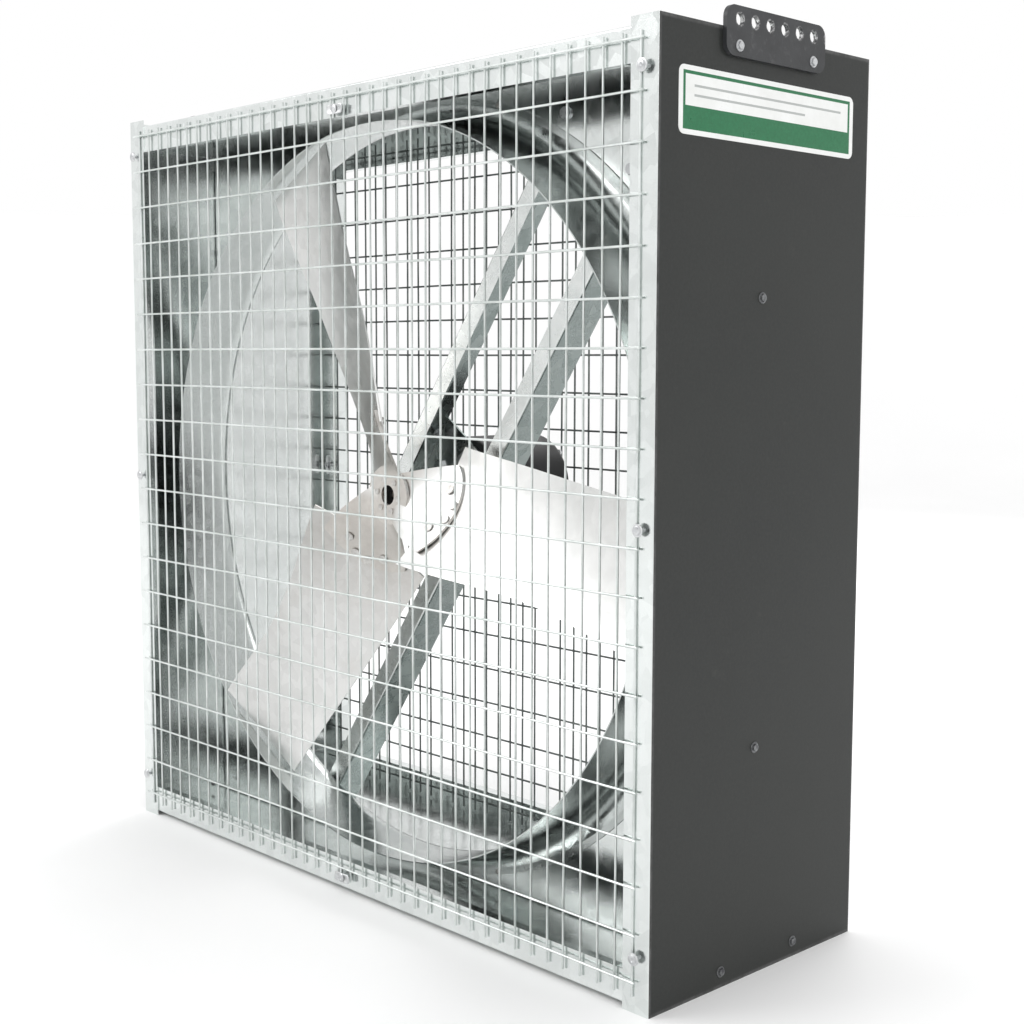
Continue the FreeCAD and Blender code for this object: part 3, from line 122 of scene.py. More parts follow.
CAMERA_LENS = 54.03
CAMERA_PLACE = (1.5268, -1.3400, 0.6872)
CAMERA_TURN = (90.0 - 5.81, -0.1, 46.57)    # degrees: tilt up from straight down, roll, heading


# ---------------------------------------------------------------- shader helpers

def opaque(item):
    """A colour of three numbers gets its alpha; anything else stays as it is."""
    return (*item, 1.0) if isinstance(item, tuple) and len(item) == 3 else item


class Shader:
    """A material's node tree with short calls for the nodes used here."""

    def __init__(self, name, metallic=0.0, roughness=0.5):
        self.material = bpy.data.materials.new(name)
        self.material.use_nodes = True
        self.tree = self.material.node_tree
        self.tree.nodes.clear()
        output = self.tree.nodes.new("ShaderNodeOutputMaterial")
        self.surface = self.tree.nodes.new("ShaderNodeBsdfPrincipled")
        self.link(self.surface.outputs[0], output.inputs["Surface"])
        self.surface.inputs["Metallic"].default_value = metallic
        self.surface.inputs["Roughness"].default_value = roughness
        self.coords = self.tree.nodes.new("ShaderNodeTexCoord")
        self.place = self.coords.outputs["Object"]

    def link(self, source, target):
        self.tree.links.new(source, target)

    def put(self, socket, item):
        """Links an output, or sets a plain number or colour."""
        if isinstance(item, bpy.types.NodeSocket):
            self.link(item, socket)
        else:
            socket.default_value = item

    def set(self, name, item):
        """Links or sets one of the surface's own sockets."""
        self.put(self.surface.inputs[name], opaque(item))

    def scaled(self, x, y, z):
        """Place stretched along each direction."""
        node = self.tree.nodes.new("ShaderNodeMapping")
        self.link(self.place, node.inputs["Vector"])
        node.inputs["Scale"].default_value = (x, y, z)
        return node.outputs[0]

    def noise(self, scale, detail=3.0, roughness=0.55, vector=None, distortion=0.0):
        """Cloudy value between 0 and 1; scale is in features per metre."""
        node = self.tree.nodes.new("ShaderNodeTexNoise")
        self.link(vector or self.place, node.inputs["Vector"])
        node.inputs["Scale"].default_value = scale
        node.inputs["Detail"].default_value = detail
        node.inputs["Roughness"].default_value = roughness
        node.inputs["Distortion"].default_value = distortion
        return node.outputs["Fac"]

    def cells(self, scale, vector=None):
        """A random colour for each cell; scale is in cells per metre."""
        node = self.tree.nodes.new("ShaderNodeTexVoronoi")
        self.link(vector or self.place, node.inputs["Vector"])
        node.inputs["Scale"].default_value = scale
        return node.outputs["Color"]

    def math(self, operation, first, second=0.0, third=0.0, clamp=False):
        node = self.tree.nodes.new("ShaderNodeMath")
        node.operation = operation
        node.use_clamp = clamp
        for socket, item in zip(node.inputs, (first, second, third)):
            self.put(socket, item)
        return node.outputs[0]

    def vector(self, operation, first, second=None, scale=None):
        """Vector maths; second is left out for NORMALIZE, and scale is for SCALE."""
        node = self.tree.nodes.new("ShaderNodeVectorMath")
        node.operation = operation
        self.put(node.inputs[0], first)
        if second is not None:
            self.put(node.inputs[1], second)
        if scale is not None:
            self.put(node.inputs["Scale"], scale)
        return node.outputs[0]

    def split(self, vector):
        node = self.tree.nodes.new("ShaderNodeSeparateXYZ")
        self.link(vector, node.inputs[0])
        return node.outputs

    def distance(self, across, up):
        """Distance from a centre, from two offsets at right angles."""
        squares = [self.math("MULTIPLY", item, item) for item in (across, up)]
        return self.math("SQRT", self.math("ADD", *squares))

    def pushed(self, colour, amount):
        """Place moved by a colour, to warp a pattern that is read there."""
        return self.vector("ADD", self.place, self.vector("SCALE", colour, scale=amount))

    def remap(self, item, low, high, new_low, new_high, smooth=False):
        """Takes low..high to new_low..new_high, and holds the ends outside it."""
        node = self.tree.nodes.new("ShaderNodeMapRange")
        node.interpolation_type = "SMOOTHSTEP" if smooth else "LINEAR"
        self.put(node.inputs["Value"], item)
        for name, number in (("From Min", low), ("From Max", high),
                             ("To Min", new_low), ("To Max", new_high)):
            self.put(node.inputs[name], number)
        return node.outputs["Result"]

    def blend(self, factor, first, second):
        """Mix of two colours."""
        node = self.tree.nodes.new("ShaderNodeMix")
        node.data_type = "RGBA"
        self.put(node.inputs["Factor"], factor)
        self.put(node.inputs[6], opaque(first))
        self.put(node.inputs[7], opaque(second))
        return node.outputs[2]

    def mottle(self, cloud, first, second, low=0.3, high=0.7):
        """Colour that drifts from first to second as a noise goes from low to high."""
        return self.blend(self.remap(cloud, low, high, 0.0, 1.0), first, second)

    def blend_value(self, factor, first, second):
        """Mix of two numbers."""
        node = self.tree.nodes.new("ShaderNodeMix")
        self.put(node.inputs["Factor"], factor)
        self.put(node.inputs[2], first)
        self.put(node.inputs[3], second)
        return node.outputs[0]

    def bump(self, height, strength, distance, normal=None):
        node = self.tree.nodes.new("ShaderNodeBump")
        node.inputs["Strength"].default_value = strength
        node.inputs["Distance"].default_value = distance
        self.link(height, node.inputs["Height"])
        if normal is not None:
            self.link(normal, node.inputs["Normal"])
        return node.outputs[0]

    def shiver(self, random_colour, amount):
        """Surface normal tipped a little by a random colour, a different way in each cell."""
        geometry = self.tree.nodes.new("ShaderNodeNewGeometry")
        centred = self.vector("SUBTRACT", random_colour, (0.5, 0.5, 0.5))
        tipped = self.vector("SCALE", centred, scale=amount)
        total = self.vector("ADD", geometry.outputs["Normal"], tipped)
        return self.vector("NORMALIZE", total)

    def facing(self):
        """Surface normal in the part's own directions."""
        return self.split(self.coords.outputs["Normal"])


# ---------------------------------------------------------------- materials

def zinc(name, light, dark, rough, spangle, shiver):
    """Hot-dip galvanised sheet: frosty crystals, soft patches and a little grime."""
    s = Shader(name, metallic=1.0)
    add_zinc(s, light, dark, rough, spangle, contrast=0.45, shiver=shiver, stain=0.25,
             stain_colour=(0.42, 0.40, 0.37))
    return s.material


def add_zinc(s, light, dark, rough, spangle, contrast, shiver, stain, stain_colour):
    """Puts galvanising on a shader, and gives back its colour, roughness and normal.

    spangle is crystals per metre, shiver how far each one tips the normal, and stain the
    most that grime covers.
    """
    crystal = s.cells(spangle, s.pushed(s.cells(9.0), 0.004))
    tone = s.split(crystal)[0]
    feather = s.noise(spangle * 7.0, 4.0, 0.7, s.pushed(crystal, 0.09))
    patch = s.noise(2.6, 4.0, 0.6)
    level = s.math("MULTIPLY", s.math("SUBTRACT", tone, 0.5), contrast)
    frost_and_painted_light = s.math("MULTIPLY", s.math("SUBTRACT", feather, 0.5), contrast * 0.7)
    level = s.math("ADD", level, frost_and_painted_light)
    level = s.math("ADD", level, s.remap(patch, 0.3, 0.7, 0.35, 0.65), clamp=True)
    colour = s.blend(level, dark, light)
    grime = s.remap(s.noise(7.0, 6.0, 0.65, distortion=0.6), 0.56, 0.78, 0.0, stain)
    colour = s.blend(grime, colour, stain_colour)
    s.set("Base Color", colour)
    gloss = s.math("MULTIPLY_ADD", tone, 0.06, rough)
    gloss = s.math("ADD", gloss, s.math("MULTIPLY", grime, 0.4))
    gloss = s.math("ADD", gloss, s.remap(feather, 0.3, 0.7, -0.02, 0.02))
    s.set("Roughness", gloss)
    normal = s.bump(s.noise(3.5, 1.0, 0.5), 0.30, 0.004, s.shiver(crystal, shiver))
    normal = s.bump(s.noise(900.0, 2.0, 0.6), 0.10, 0.0004, normal)
    s.set("Normal", normal)
    return colour, gloss, normal


def blade_material(name, light, dark, rough, spangle):
    """Bright blade sheet: lighter on upward faces, warmer film towards the hub."""
    s = Shader(name, metallic=1.0)
    colour, _, _ = add_zinc(s, light, dark, rough, spangle, contrast=0.4, shiver=0.010,
                            stain=0.3, stain_colour=(0.58, 0.54, 0.49))
    speckle = s.noise(26.0, 6.0, 0.65)
    x, _, z = s.split(s.place)
    reach = s.distance(x, s.math("SUBTRACT", z, AXIS_Z))
    film = s.remap(reach, *HUB_FILM, 0.75, 0.0, smooth=True)
    film = s.math("MULTIPLY", film, s.remap(speckle, 0.35, 0.65, 0.5, 1.0))
    warm = s.blend(film, colour, (0.47, 0.44, 0.41))
    # Faces that point upward are blended towards a paler colour.
    up = s.remap(s.facing()[2], -0.05, 0.35, 0.0, 0.85, smooth=True)
    dust = s.mottle(speckle, (0.86, 0.86, 0.85), (0.95, 0.95, 0.94))
    s.set("Base Color", s.blend(up, warm, dust))
    return s.material


def strut_material():
    """Angle struts: the webs get dark zinc colours as painted shade, and the forward legs are painted paler as
    painted light, by which way each face points.
    """
    s = Shader("strut_zinc", metallic=1.0)
    # Painted shade: the webs get these dark zinc colours so that they look shaded.
    colour, _, _ = add_zinc(s, (0.36, 0.40, 0.39), (0.22, 0.26, 0.25), 0.24, 66.0, contrast=0.6,
                            shiver=0.010, stain=0.2, stain_colour=(0.30, 0.29, 0.27))
    # Painted light: faces that point forward are blended to a pale colour, standing in for the light that falls on
    # them.
    front = s.remap(s.math("MULTIPLY", s.facing()[1], -1.0), 0.6, 0.9, 0.0, 0.85)
    frost_and_painted_light = s.mottle(s.noise(40.0, 5.0), (0.74, 0.76, 0.75), (0.88, 0.89, 0.88))
    s.set("Base Color", s.blend(front, colour, frost_and_painted_light))
    return s.material


def side_panel_material():
    """Charcoal film outside; galvanised on the flanges and inside."""
    low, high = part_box("side_panel_right")
    s = Shader("side_panel", metallic=1.0)
    zinc_colour, zinc_gloss, normal = add_zinc(
        s, (0.82, 0.85, 0.84), (0.64, 0.67, 0.66), 0.14, 62.0, contrast=0.45, shiver=0.006,
        stain=0.15, stain_colour=(0.45, 0.44, 0.42))
    x, y, z = s.split(s.place)
    outside = s.math("GREATER_THAN", s.math("ABSOLUTE", x), FILM_START)
    cloud = s.noise(3.2, 5.0, 0.6)
    grain = s.noise(260.0, 3.0, 0.7)
    film = s.mottle(cloud, (0.017, 0.019, 0.018), (0.025, 0.027, 0.025))
    film = s.blend(s.remap(grain, 0.35, 0.75, 0.0, 0.35), film, (0.040, 0.042, 0.039))
    dust = s.remap(s.noise(38.0, 8.0, 0.75), 0.62, 0.80, 0.0, 0.30)
    film = s.blend(dust, film, (0.10, 0.098, 0.092))
    scratches = s.noise(7.0, 9.0, 0.8, s.scaled(1.0, 18.0, 2.2))
    film = s.blend(s.remap(scratches, 0.735, 0.76, 0.0, 0.45), film, (0.12, 0.12, 0.12))
    edge = edge_wear(s, (y, low.y), (y, high.y), (z, low.z), (z, high.z))
    film = s.blend(edge, film, (0.10, 0.10, 0.10))
    film_gloss = s.math("ADD", s.remap(cloud, 0.3, 0.7, 0.36, 0.46),
                        s.math("MULTIPLY", dust, 0.5))
    s.set("Base Color", s.blend(outside, zinc_colour, film))
    s.set("Roughness", s.blend_value(outside, zinc_gloss, film_gloss))
    s.set("Metallic", s.math("SUBTRACT", 1.0, outside))
    s.set("Specular IOR Level", 0.3)
    s.set("Normal", s.bump(s.noise(700.0, 2.0, 0.5), 0.12, 0.0005, normal))
    return s.material


def edge_wear(s, *edges):
    """Thin rubbed line along a panel's edges, each one a coordinate and where it ends."""
    mask = None
    for item, edge in edges:
        gap = s.math("ABSOLUTE", s.math("SUBTRACT", item, edge))
        line = s.remap(gap, *EDGE_RUB, 1.0, 0.0)
        mask = line if mask is None else s.math("MAXIMUM", mask, line)
    return s.math("MULTIPLY", mask, s.remap(s.noise(60.0, 5.0, 0.7), 0.35, 0.65, 0.2, 1.0))


def paint(name, colour, worn, rough, peel=0.15, dust_up=0.2):
    """Baked or sprayed paint with orange peel, dust in patches and rubbed spots."""
    s = Shader(name)
    cloud = s.noise(14.0, 5.0, 0.6)
    tint = tuple(min(1.0, c * 1.5 + 0.006) for c in colour)
    base = s.mottle(cloud, colour, tint, low=0.35)
    dust = s.remap(s.noise(55.0, 7.0, 0.72), 0.58, 0.80, 0.0, 0.35)
    base = s.blend(dust, base, worn)
    up = s.remap(s.facing()[2], 0.5, 1.0, 0.0, dust_up)
    settled = s.math("MULTIPLY", up, s.remap(cloud, 0.3, 0.7, 0.4, 1.0))
    s.set("Base Color", s.blend(settled, base, (0.22, 0.21, 0.19)))
    s.set("Roughness", s.math("ADD", s.remap(cloud, 0.3, 0.7, rough - 0.05, rough + 0.08),
                              s.math("MULTIPLY", dust, 0.4)))
    s.set("Specular IOR Level", 0.3)
    s.set("Normal", s.bump(s.noise(420.0, 3.0, 0.6), peel, 0.0006))
    return s.material


def plated(name, light, dark, rough, grime=(0.20, 0.17, 0.13), scale=1.0):
    """Zinc plated or machined steel, a little cloudy, with small spots of grime."""
    s = Shader(name, metallic=1.0)
    cloud = s.noise(160.0 * scale, 5.0, 0.65)
    spots = s.remap(s.noise(420.0 * scale, 6.0, 0.7), 0.6, 0.78, 0.0, 0.5)
    s.set("Base Color", s.blend(spots, s.mottle(cloud, dark, light), grime))
    s.set("Roughness", s.math("ADD", s.remap(cloud, 0.3, 0.7, rough, rough + 0.12),
                              s.math("MULTIPLY", spots, 0.3)))
    s.set("Normal", s.bump(s.noise(1500.0, 2.0, 0.6), 0.15, 0.0002))
    return s.material


def hanger_material():
    """Black bracket, with the paint rubbed off round the holes."""
    s = Shader("hanger_paint")
    low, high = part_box("hanging_bracket_right")
    _, y, z = s.split(s.place)
    row_start = (low.y + high.y) / 2 - HOLE_COUNT / 2 * HOLE_PITCH
    along = s.math("MODULO", s.math("SUBTRACT", y, row_start), HOLE_PITCH)
    reach = s.distance(s.math("SUBTRACT", along, HOLE_PITCH / 2),
                       s.math("SUBTRACT", z, high.z - HOLE_DROP))
    rub = s.remap(s.noise(240.0, 5.0, 0.7), 0.45, 0.6, 0.0, 1.0)
    ring = s.math("MULTIPLY", s.remap(reach, *HOLE_RUB, 1.0, 0.0), rub)
    cloud = s.noise(30.0, 5.0, 0.65)
    base = s.mottle(cloud, (0.018, 0.019, 0.021), (0.040, 0.042, 0.045))
    dust = s.remap(s.noise(90.0, 7.0, 0.7), 0.56, 0.78, 0.0, 0.4)
    base = s.blend(dust, base, (0.15, 0.15, 0.15))
    s.set("Base Color", s.blend(ring, base, (0.45, 0.45, 0.45)))
    s.set("Metallic", ring)
    s.set("Roughness", s.remap(cloud, 0.3, 0.7, 0.34, 0.48))
    s.set("Normal", s.bump(s.noise(500.0, 3.0, 0.6), 0.2, 0.0005))
    return s.material


def label_material():
    """White film with a plain green border and band and two grey rules: no words and no mark."""
    s = Shader("label_film")
    low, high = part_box("side_label")
    _, y, z = s.split(s.place)
    across = s.remap(y, low.y, high.y, 0.0, 1.0)
    up = s.remap(z, low.z, high.z, 0.0, 1.0)

    def patch(left, right, bottom, top):
        """1 inside a rectangle given in shares of the label, and 0 outside."""
        spans = [s.math("MULTIPLY", s.math("GREATER_THAN", item, start),
                        s.math("LESS_THAN", item, stop))
                 for item, start, stop in ((across, left, right), (up, bottom, top))]
        return s.math("MULTIPLY", *spans)

    fade = s.noise(30.0, 6.0, 0.7)
    white = s.mottle(fade, (0.86, 0.87, 0.86), (0.78, 0.79, 0.77), low=0.35)
    green = s.mottle(s.noise(300.0, 5.0, 0.7), (0.004, 0.130, 0.045), (0.010, 0.170, 0.065),
                     low=0.35)
    inner = patch(0.022, 0.978, 0.075, 0.925)
    border = s.math("SUBTRACT", inner, patch(0.034, 0.966, 0.125, 0.875))
    band = patch(0.034, 0.966, 0.125, 0.42)
    rules = s.math("MAXIMUM", patch(0.08, 0.92, 0.70, 0.735), patch(0.08, 0.70, 0.56, 0.595))
    colour = s.blend(s.math("MAXIMUM", border, band), white, green)
    s.set("Base Color", s.blend(rules, colour, (0.42, 0.44, 0.43)))
    s.set("Roughness", s.remap(fade, 0.3, 0.7, 0.26, 0.40))
    s.set("Normal", s.bump(s.noise(45.0, 3.0, 0.5), 0.12, 0.0008))
    return s.material


def lamination_material():
    """Stacked steel sheets seen on edge."""
    s = Shader("lamination_steel", metallic=1.0)
    y = s.split(s.place)[1]
    layer = s.math("FRACT", s.math("MULTIPLY", y, LAMINATIONS))
    cloud = s.noise(60.0, 5.0, 0.65)
    base = s.mottle(cloud, (0.20, 0.20, 0.21), (0.34, 0.33, 0.32))
    s.set("Base Color", s.blend(s.remap(layer, 0.0, 0.3, 0.35, 1.0), (0.05, 0.05, 0.05), base))
    s.set("Roughness", s.remap(cloud, 0.3, 0.7, 0.38, 0.6))
    s.set("Normal", s.bump(layer, 0.3, 0.0002))
    return s.material


def winding_material():
    """Lacquered copper wire, wound round the axis."""
    s = Shader("winding_copper", metallic=0.8)
    y = s.split(s.place)[1]
    turns = s.math("SINE", s.math("MULTIPLY", y, WINDING_WAVES))
    tangle = s.noise(120.0, 4.0, 0.7, s.scaled(1.0, 7.0, 1.0))
    s.set("Base Color", s.mottle(tangle, (0.34, 0.10, 0.03), (0.60, 0.24, 0.09)))
    s.set("Roughness", s.remap(tangle, 0.3, 0.7, 0.28, 0.5))
    s.set("Coat Weight", 0.6)
    s.set("Normal", s.bump(s.math("ADD", turns, s.math("MULTIPLY", tangle, 2.0)), 0.5, 0.0004))
    return s.material


def wire_material(name, dark, light, dirt):
    """Drawn wire, galvanised, a little uneven along its length."""
    s = Shader(name, metallic=1.0)
    cloud = s.noise(24.0, 4.0, 0.6)
    runs = s.noise(260.0, 5.0, 0.7)
    base = s.mottle(cloud, dark, light)
    s.set("Base Color", s.blend(s.remap(runs, 0.60, 0.75, 0.0, 0.5), base, dirt))
    s.set("Roughness", s.remap(runs, 0.3, 0.7, 0.26, 0.44))
    s.set("Normal", s.bump(runs, 0.35, 0.0004))
    return s.material


def floor_material():
    """Matte white paper."""
    s = Shader("room_paper", roughness=0.9)
    shade = tuple(c * 0.985 for c in FLOOR_WHITE)
    s.set("Base Color", s.mottle(s.noise(1.5, 3.0), FLOOR_WHITE, shade))
    return s.material


MATERIALS = {
    "side_paint": side_panel_material(),
    "housing_zinc": zinc("housing_zinc", SHEET_LIGHT, SHEET_DARK, 0.16, 62.0, 0.007),
    "orifice_zinc": zinc("orifice_zinc", SHEET_LIGHT, SHEET_DARK, 0.11, 62.0, 0.006),
    "ring_zinc": zinc("ring_zinc", (0.62, 0.65, 0.64), (0.46, 0.49, 0.48), 0.18, 66.0, 0.008),
    "guard_wire": wire_material(
        "guard_wire", (0.56, 0.60, 0.58), (0.80, 0.83, 0.82), (0.34, 0.36, 0.35)),
    "clip_zinc": plated("clip_zinc", (0.76, 0.77, 0.77), (0.52, 0.53, 0.54), 0.30),
    "screw_zinc": plated("screw_zinc", (0.70, 0.71, 0.72), (0.42, 0.43, 0.44), 0.26),
    "wall_screw": plated("wall_screw", (0.30, 0.31, 0.31), (0.10, 0.10, 0.11), 0.30),
    "strut_zinc": strut_material(),
    "motor_paint": paint(
        "motor_paint", (0.006, 0.006, 0.007), (0.05, 0.05, 0.048), 0.42, dust_up=0.06),
    "bell_paint": paint(
        "bell_paint", (0.008, 0.008, 0.009), (0.06, 0.06, 0.055), 0.48, 0.45, dust_up=0.08),
    "bearing_steel": plated("bearing_steel", (0.72, 0.72, 0.73), (0.50, 0.50, 0.52), 0.12),
    "lamination_steel": lamination_material(),
    "winding_copper": winding_material(),
    "shaft_steel": plated(
        "shaft_steel", (0.56, 0.53, 0.49), (0.36, 0.31, 0.25), 0.26, (0.16, 0.09, 0.05)),
    "gland_plastic": paint(
        "gland_plastic", (0.018, 0.018, 0.018), (0.08, 0.08, 0.08), 0.46, 0.2),
    "nameplate": plated(
        "nameplate", (0.82, 0.83, 0.84), (0.66, 0.67, 0.68), 0.24, (0.35, 0.35, 0.35), 0.3),
    "blade_zinc": blade_material(
        "blade_zinc", (0.80, 0.80, 0.79), (0.62, 0.62, 0.61), 0.30, 80.0),
    "spider_zinc": blade_material(
        "spider_zinc", (0.84, 0.82, 0.79), (0.66, 0.63, 0.59), 0.32, 90.0),
    "rivet_zinc": plated("rivet_zinc", (0.72, 0.71, 0.69), (0.44, 0.42, 0.40), 0.32),
    "hub_iron": paint("hub_iron", (0.010, 0.010, 0.010), (0.07, 0.06, 0.05), 0.40, 0.8),
    "hub_screw": plated("hub_screw", (0.12, 0.12, 0.12), (0.05, 0.05, 0.05), 0.30),
    "hanger_paint": hanger_material(),
    "label_film": label_material(),
}

# Painted shade: the rear guard is darker than the front one, its galvanised wire given darker colours that stand
# in for the shade it sits in.
SHADED_REAR_WIRE = wire_material(
    "shaded_rear_wire", (0.11, 0.12, 0.12), (0.22, 0.24, 0.23), (0.07, 0.07, 0.065))


def dress_cad_nodes():
    """Gives every CAD node its slot's material, with smooth curved faces and crisp edges."""
    slots = {entry["node"]: entry["material_slot"] for entry in frame["record"]["subparts"]}
    for name, node in NODES.items():
        node.data.materials.clear()
        node.data.materials.append(MATERIALS[slots[name]])
        node.data.polygons.foreach_set("use_smooth", [True] * len(node.data.polygons))
        node.data.set_sharp_from_angle(angle=CAD_CREASE)


# ---------------------------------------------------------------- mesh helpers

def islands(name):
    """Lowest and highest corner of each separate solid in a CAD node."""
    mesh = NODES[name].data
    owner = list(range(len(mesh.vertices)))

    def root(index):
        while owner[index] != index:
            owner[index] = owner[owner[index]]
            index = owner[index]
        return index

    seen = {}
    for vertex in mesh.vertices:
        key = tuple(round(c, 6) for c in vertex.co)
        owner[vertex.index] = seen.setdefault(key, vertex.index)
    for edge in mesh.edges:
        first, second = root(edge.vertices[0]), root(edge.vertices[1])
        owner[first] = second
    groups = {}
    for vertex in mesh.vertices:
        groups.setdefault(root(vertex.index), []).append(vertex.co)
    boxes = []
    for points in groups.values():
        low = Vector([min(p[i] for p in points) for i in range(3)])
        high = Vector([max(p[i] for p in points) for i in range(3)])
        boxes.append((low, high))
    return sorted(boxes, key=lambda pair: tuple(round(c, 4) for c in pair[0]))


def add_object(name, data):
    """Object in the scene that shows a mesh, light or camera."""
    holder = bpy.data.objects.new(name, data)
    bpy.context.scene.collection.objects.link(holder)
    return holder


def add_mesh(name, bm, material):
    """Smooth-shaded object from a bmesh, in one material."""
    mesh = bpy.data.meshes.new(name)
    bm.to_mesh(mesh)
    bm.free()
    mesh.materials.append(material)
    mesh.polygons.foreach_set("use_smooth", [True] * len(mesh.polygons))
    return add_object(name, mesh)


def finish_piece(name, bm, slot, body, *nodes, material=None):
    """Turns a bmesh into a piece that rides on a body and stands for CAD nodes."""
    bmesh.ops.recalc_face_normals(bm, faces=bm.faces)
    piece = add_mesh(name, bm, material or MATERIALS[slot])
    piece.data.set_sharp_from_angle(angle=PIECE_CREASE)
    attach(piece, body)
    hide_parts(*nodes)


def frame_on(centre, axis):
    """Matrix that puts +Z of a small piece along an axis, at a centre."""
    turn = Vector((0, 0, 1)).rotation_difference(Vector(axis)).to_matrix().to_4x4()
    return Matrix.Translation(centre) @ turn


def angles(count, turn=0.0):
    """Equal steps round a full circle."""
    return [2 * math.pi * index / count + turn for index in range(count)]


def loft(bm, rings, closed=True):
    """Skins rings of vertices one after another, and caps both ends."""
    for lower, upper in zip(rings[:-1], rings[1:]):
        join_rings(bm, lower, upper)
    if closed:
        for ring in (rings[0], rings[-1]):
            if len(ring) > 2:
                bm.faces.new(ring)


def join_rings(bm, lower, upper):
    """Band of faces between two rings, either of which may be a single point."""
    count = max(len(lower), len(upper))
    for index in range(count):
        after = (index + 1) % count
        corners = []
        for ring, order in ((lower, (index, after)), (upper, (after, index))):
            if len(ring) == 1:
                corners.append(ring[0])
            else:
                corners.extend(ring[i] for i in order)
        bm.faces.new(corners)


def add_turned(bm, matrix, outline, sides=24, closed=True):
    """Solid of revolution about the matrix's Z from (radius, height) points."""
    rings = []
    for radius, height in outline:
        if radius < 1e-7:
            rings.append([bm.verts.new(matrix @ Vector((0, 0, height)))])
        else:
            rings.append([
                bm.verts.new(matrix @ Vector(
                    (radius * math.cos(angle), radius * math.sin(angle), height)))
                for angle in angles(sides)])
    loft(bm, rings, closed)


def add_hex(bm, matrix, radius, low, high, turn):
    """Hexagon prism whose upper corners are cut back to a circle, as on a forged head."""
    to_flat = radius * math.cos(math.pi / 6)
    rings = []
    for height, limit in ((low, radius), (high - 0.18 * radius, radius), (high, radius * 0.84)):
        ring = []
        for angle in angles(HEX_POINTS, turn):
            sector = (angle - turn) % (math.pi / 3) - math.pi / 6
            size = min(to_flat / math.cos(sector), limit)
            ring.append(bm.verts.new(matrix @ Vector(
                (size * math.cos(angle), size * math.sin(angle), height))))
        rings.append(ring)
    loft(bm, rings)


# ---------------------------------------------------------------- guards

def add_wire(bm, start, finish, radius, bend):
    """Round wire with cut ends, off straight by up to about bend."""
    run = finish - start
    along = run.normalized()
    side = Vector((0, 1, 0)).cross(along).normalized()
    deep = along.cross(side).normalized()
    phase = random.uniform(0, 2 * math.pi)
    waves = random.uniform(1.0, 2.6)
    rings = []
    for step in range(WIRE_STEPS + 1):
        share = step / WIRE_STEPS
        sway = bend * math.sin(phase + waves * 2 * math.pi * share)
        sway += 0.4 * bend * math.sin(1.7 * phase + 5.1 * waves * share)
        middle = start + run * share + side * sway
        rings.append([
            bm.verts.new(
                middle + side * (radius * math.cos(angle)) + deep * (radius * math.sin(angle)))
            for angle in angles(WIRE_SIDES)])
    loft(bm, rings)


def add_weld(bm, centre, size):
    """Flattened nugget where two wires are welded."""
    squeeze = Matrix.Diagonal((1.35, 0.75, 1.35, 1.0))
    spin = Matrix.Rotation(random.uniform(0, math.pi), 4, "Y")
    bmesh.ops.create_icosphere(
        bm, subdivisions=1, radius=size, matrix=Matrix.Translation(centre) @ spin @ squeeze)


def build_guard(name, node, material=None):
    """Welded wire mesh in place of the CAD wires."""
    columns = []
    rows = []
    for low, high in islands(node):
        size = high - low
        (columns if size.z > size.x else rows).append((low, high))
    bm = bmesh.new()
    radius = (columns[0][1].x - columns[0][0].x) / 2
    for low, high in columns:
        middle = (low + high) / 2
        add_wire(bm, Vector((middle.x, middle.y, low.z)), Vector((middle.x, middle.y, high.z)),
                 radius, COLUMN_BEND)
    for low, high in rows:
        middle = (low + high) / 2
        add_wire(bm, Vector((low.x, middle.y, middle.z)), Vector((high.x, middle.y, middle.z)),
                 radius, ROW_BEND)
    for low, high in columns:
        for bottom, top in rows:
            centre = Vector(((low.x + high.x) / 2,
                             (low.y + high.y + bottom.y + top.y) / 4,
                             (bottom.z + top.z) / 2))
            add_weld(bm, centre, radius * 0.95)
    finish_piece(name, bm, "guard_wire", "housing", node, material=material)


# ---------------------------------------------------------------- fasteners

def add_washer_screw(bm, centre, axis, radius):
    """Head of a hex washer-head screw: flange, hexagon and a dished top."""
    matrix = frame_on(centre, axis)
    turn = random.uniform(0, math.pi)
    add_turned(bm, matrix, ((radius, 0.0), (radius, 0.0005), (radius * 0.96, 0.0009),
                            (radius * 0.62, 0.0011)))
    add_hex(bm, matrix, radius * 0.74, 0.0009, SCREW_HEAD * 0.94, turn)
    add_turned(bm, matrix, ((radius * 0.50, SCREW_HEAD * 0.93), (radius * 0.46, SCREW_HEAD),
                            (radius * 0.38, SCREW_HEAD), (radius * 0.34, SCREW_HEAD * 0.90)), 20)


def add_shank(bm, centre, axis, radius, length, sides=12):
    """Threaded shank with a pointed end, from a head's seat inwards."""
    outline = [(radius * 0.86, 0.0)]
    turns = max(3, int(length / THREAD_PITCH))
    pitch = length * 0.8 / turns
    for turn in range(turns):
        outline.append((radius * 0.80, pitch * turn + 0.0002))
        outline.append((radius, pitch * (turn + 0.5)))
    outline.append((radius * 0.75, length * 0.82))
    outline.append((0.0, length))
    add_turned(bm, frame_on(centre, axis), outline, sides)


def add_washer(bm, low, high):
    """Round washer with a pressed rim, facing forward."""
    middle = (low + high) / 2
    thick = high.y - low.y
    radius = (high.x - low.x) / 2
    matrix = frame_on(Vector((middle.x, high.y, middle.z)), (0, -1, 0))
    add_turned(bm, matrix, ((radius, 0.0), (radius, thick * 0.6), (radius * 0.95, thick * 0.92),
                            (radius * 0.88, thick), (radius * 0.30, thick)), 32)


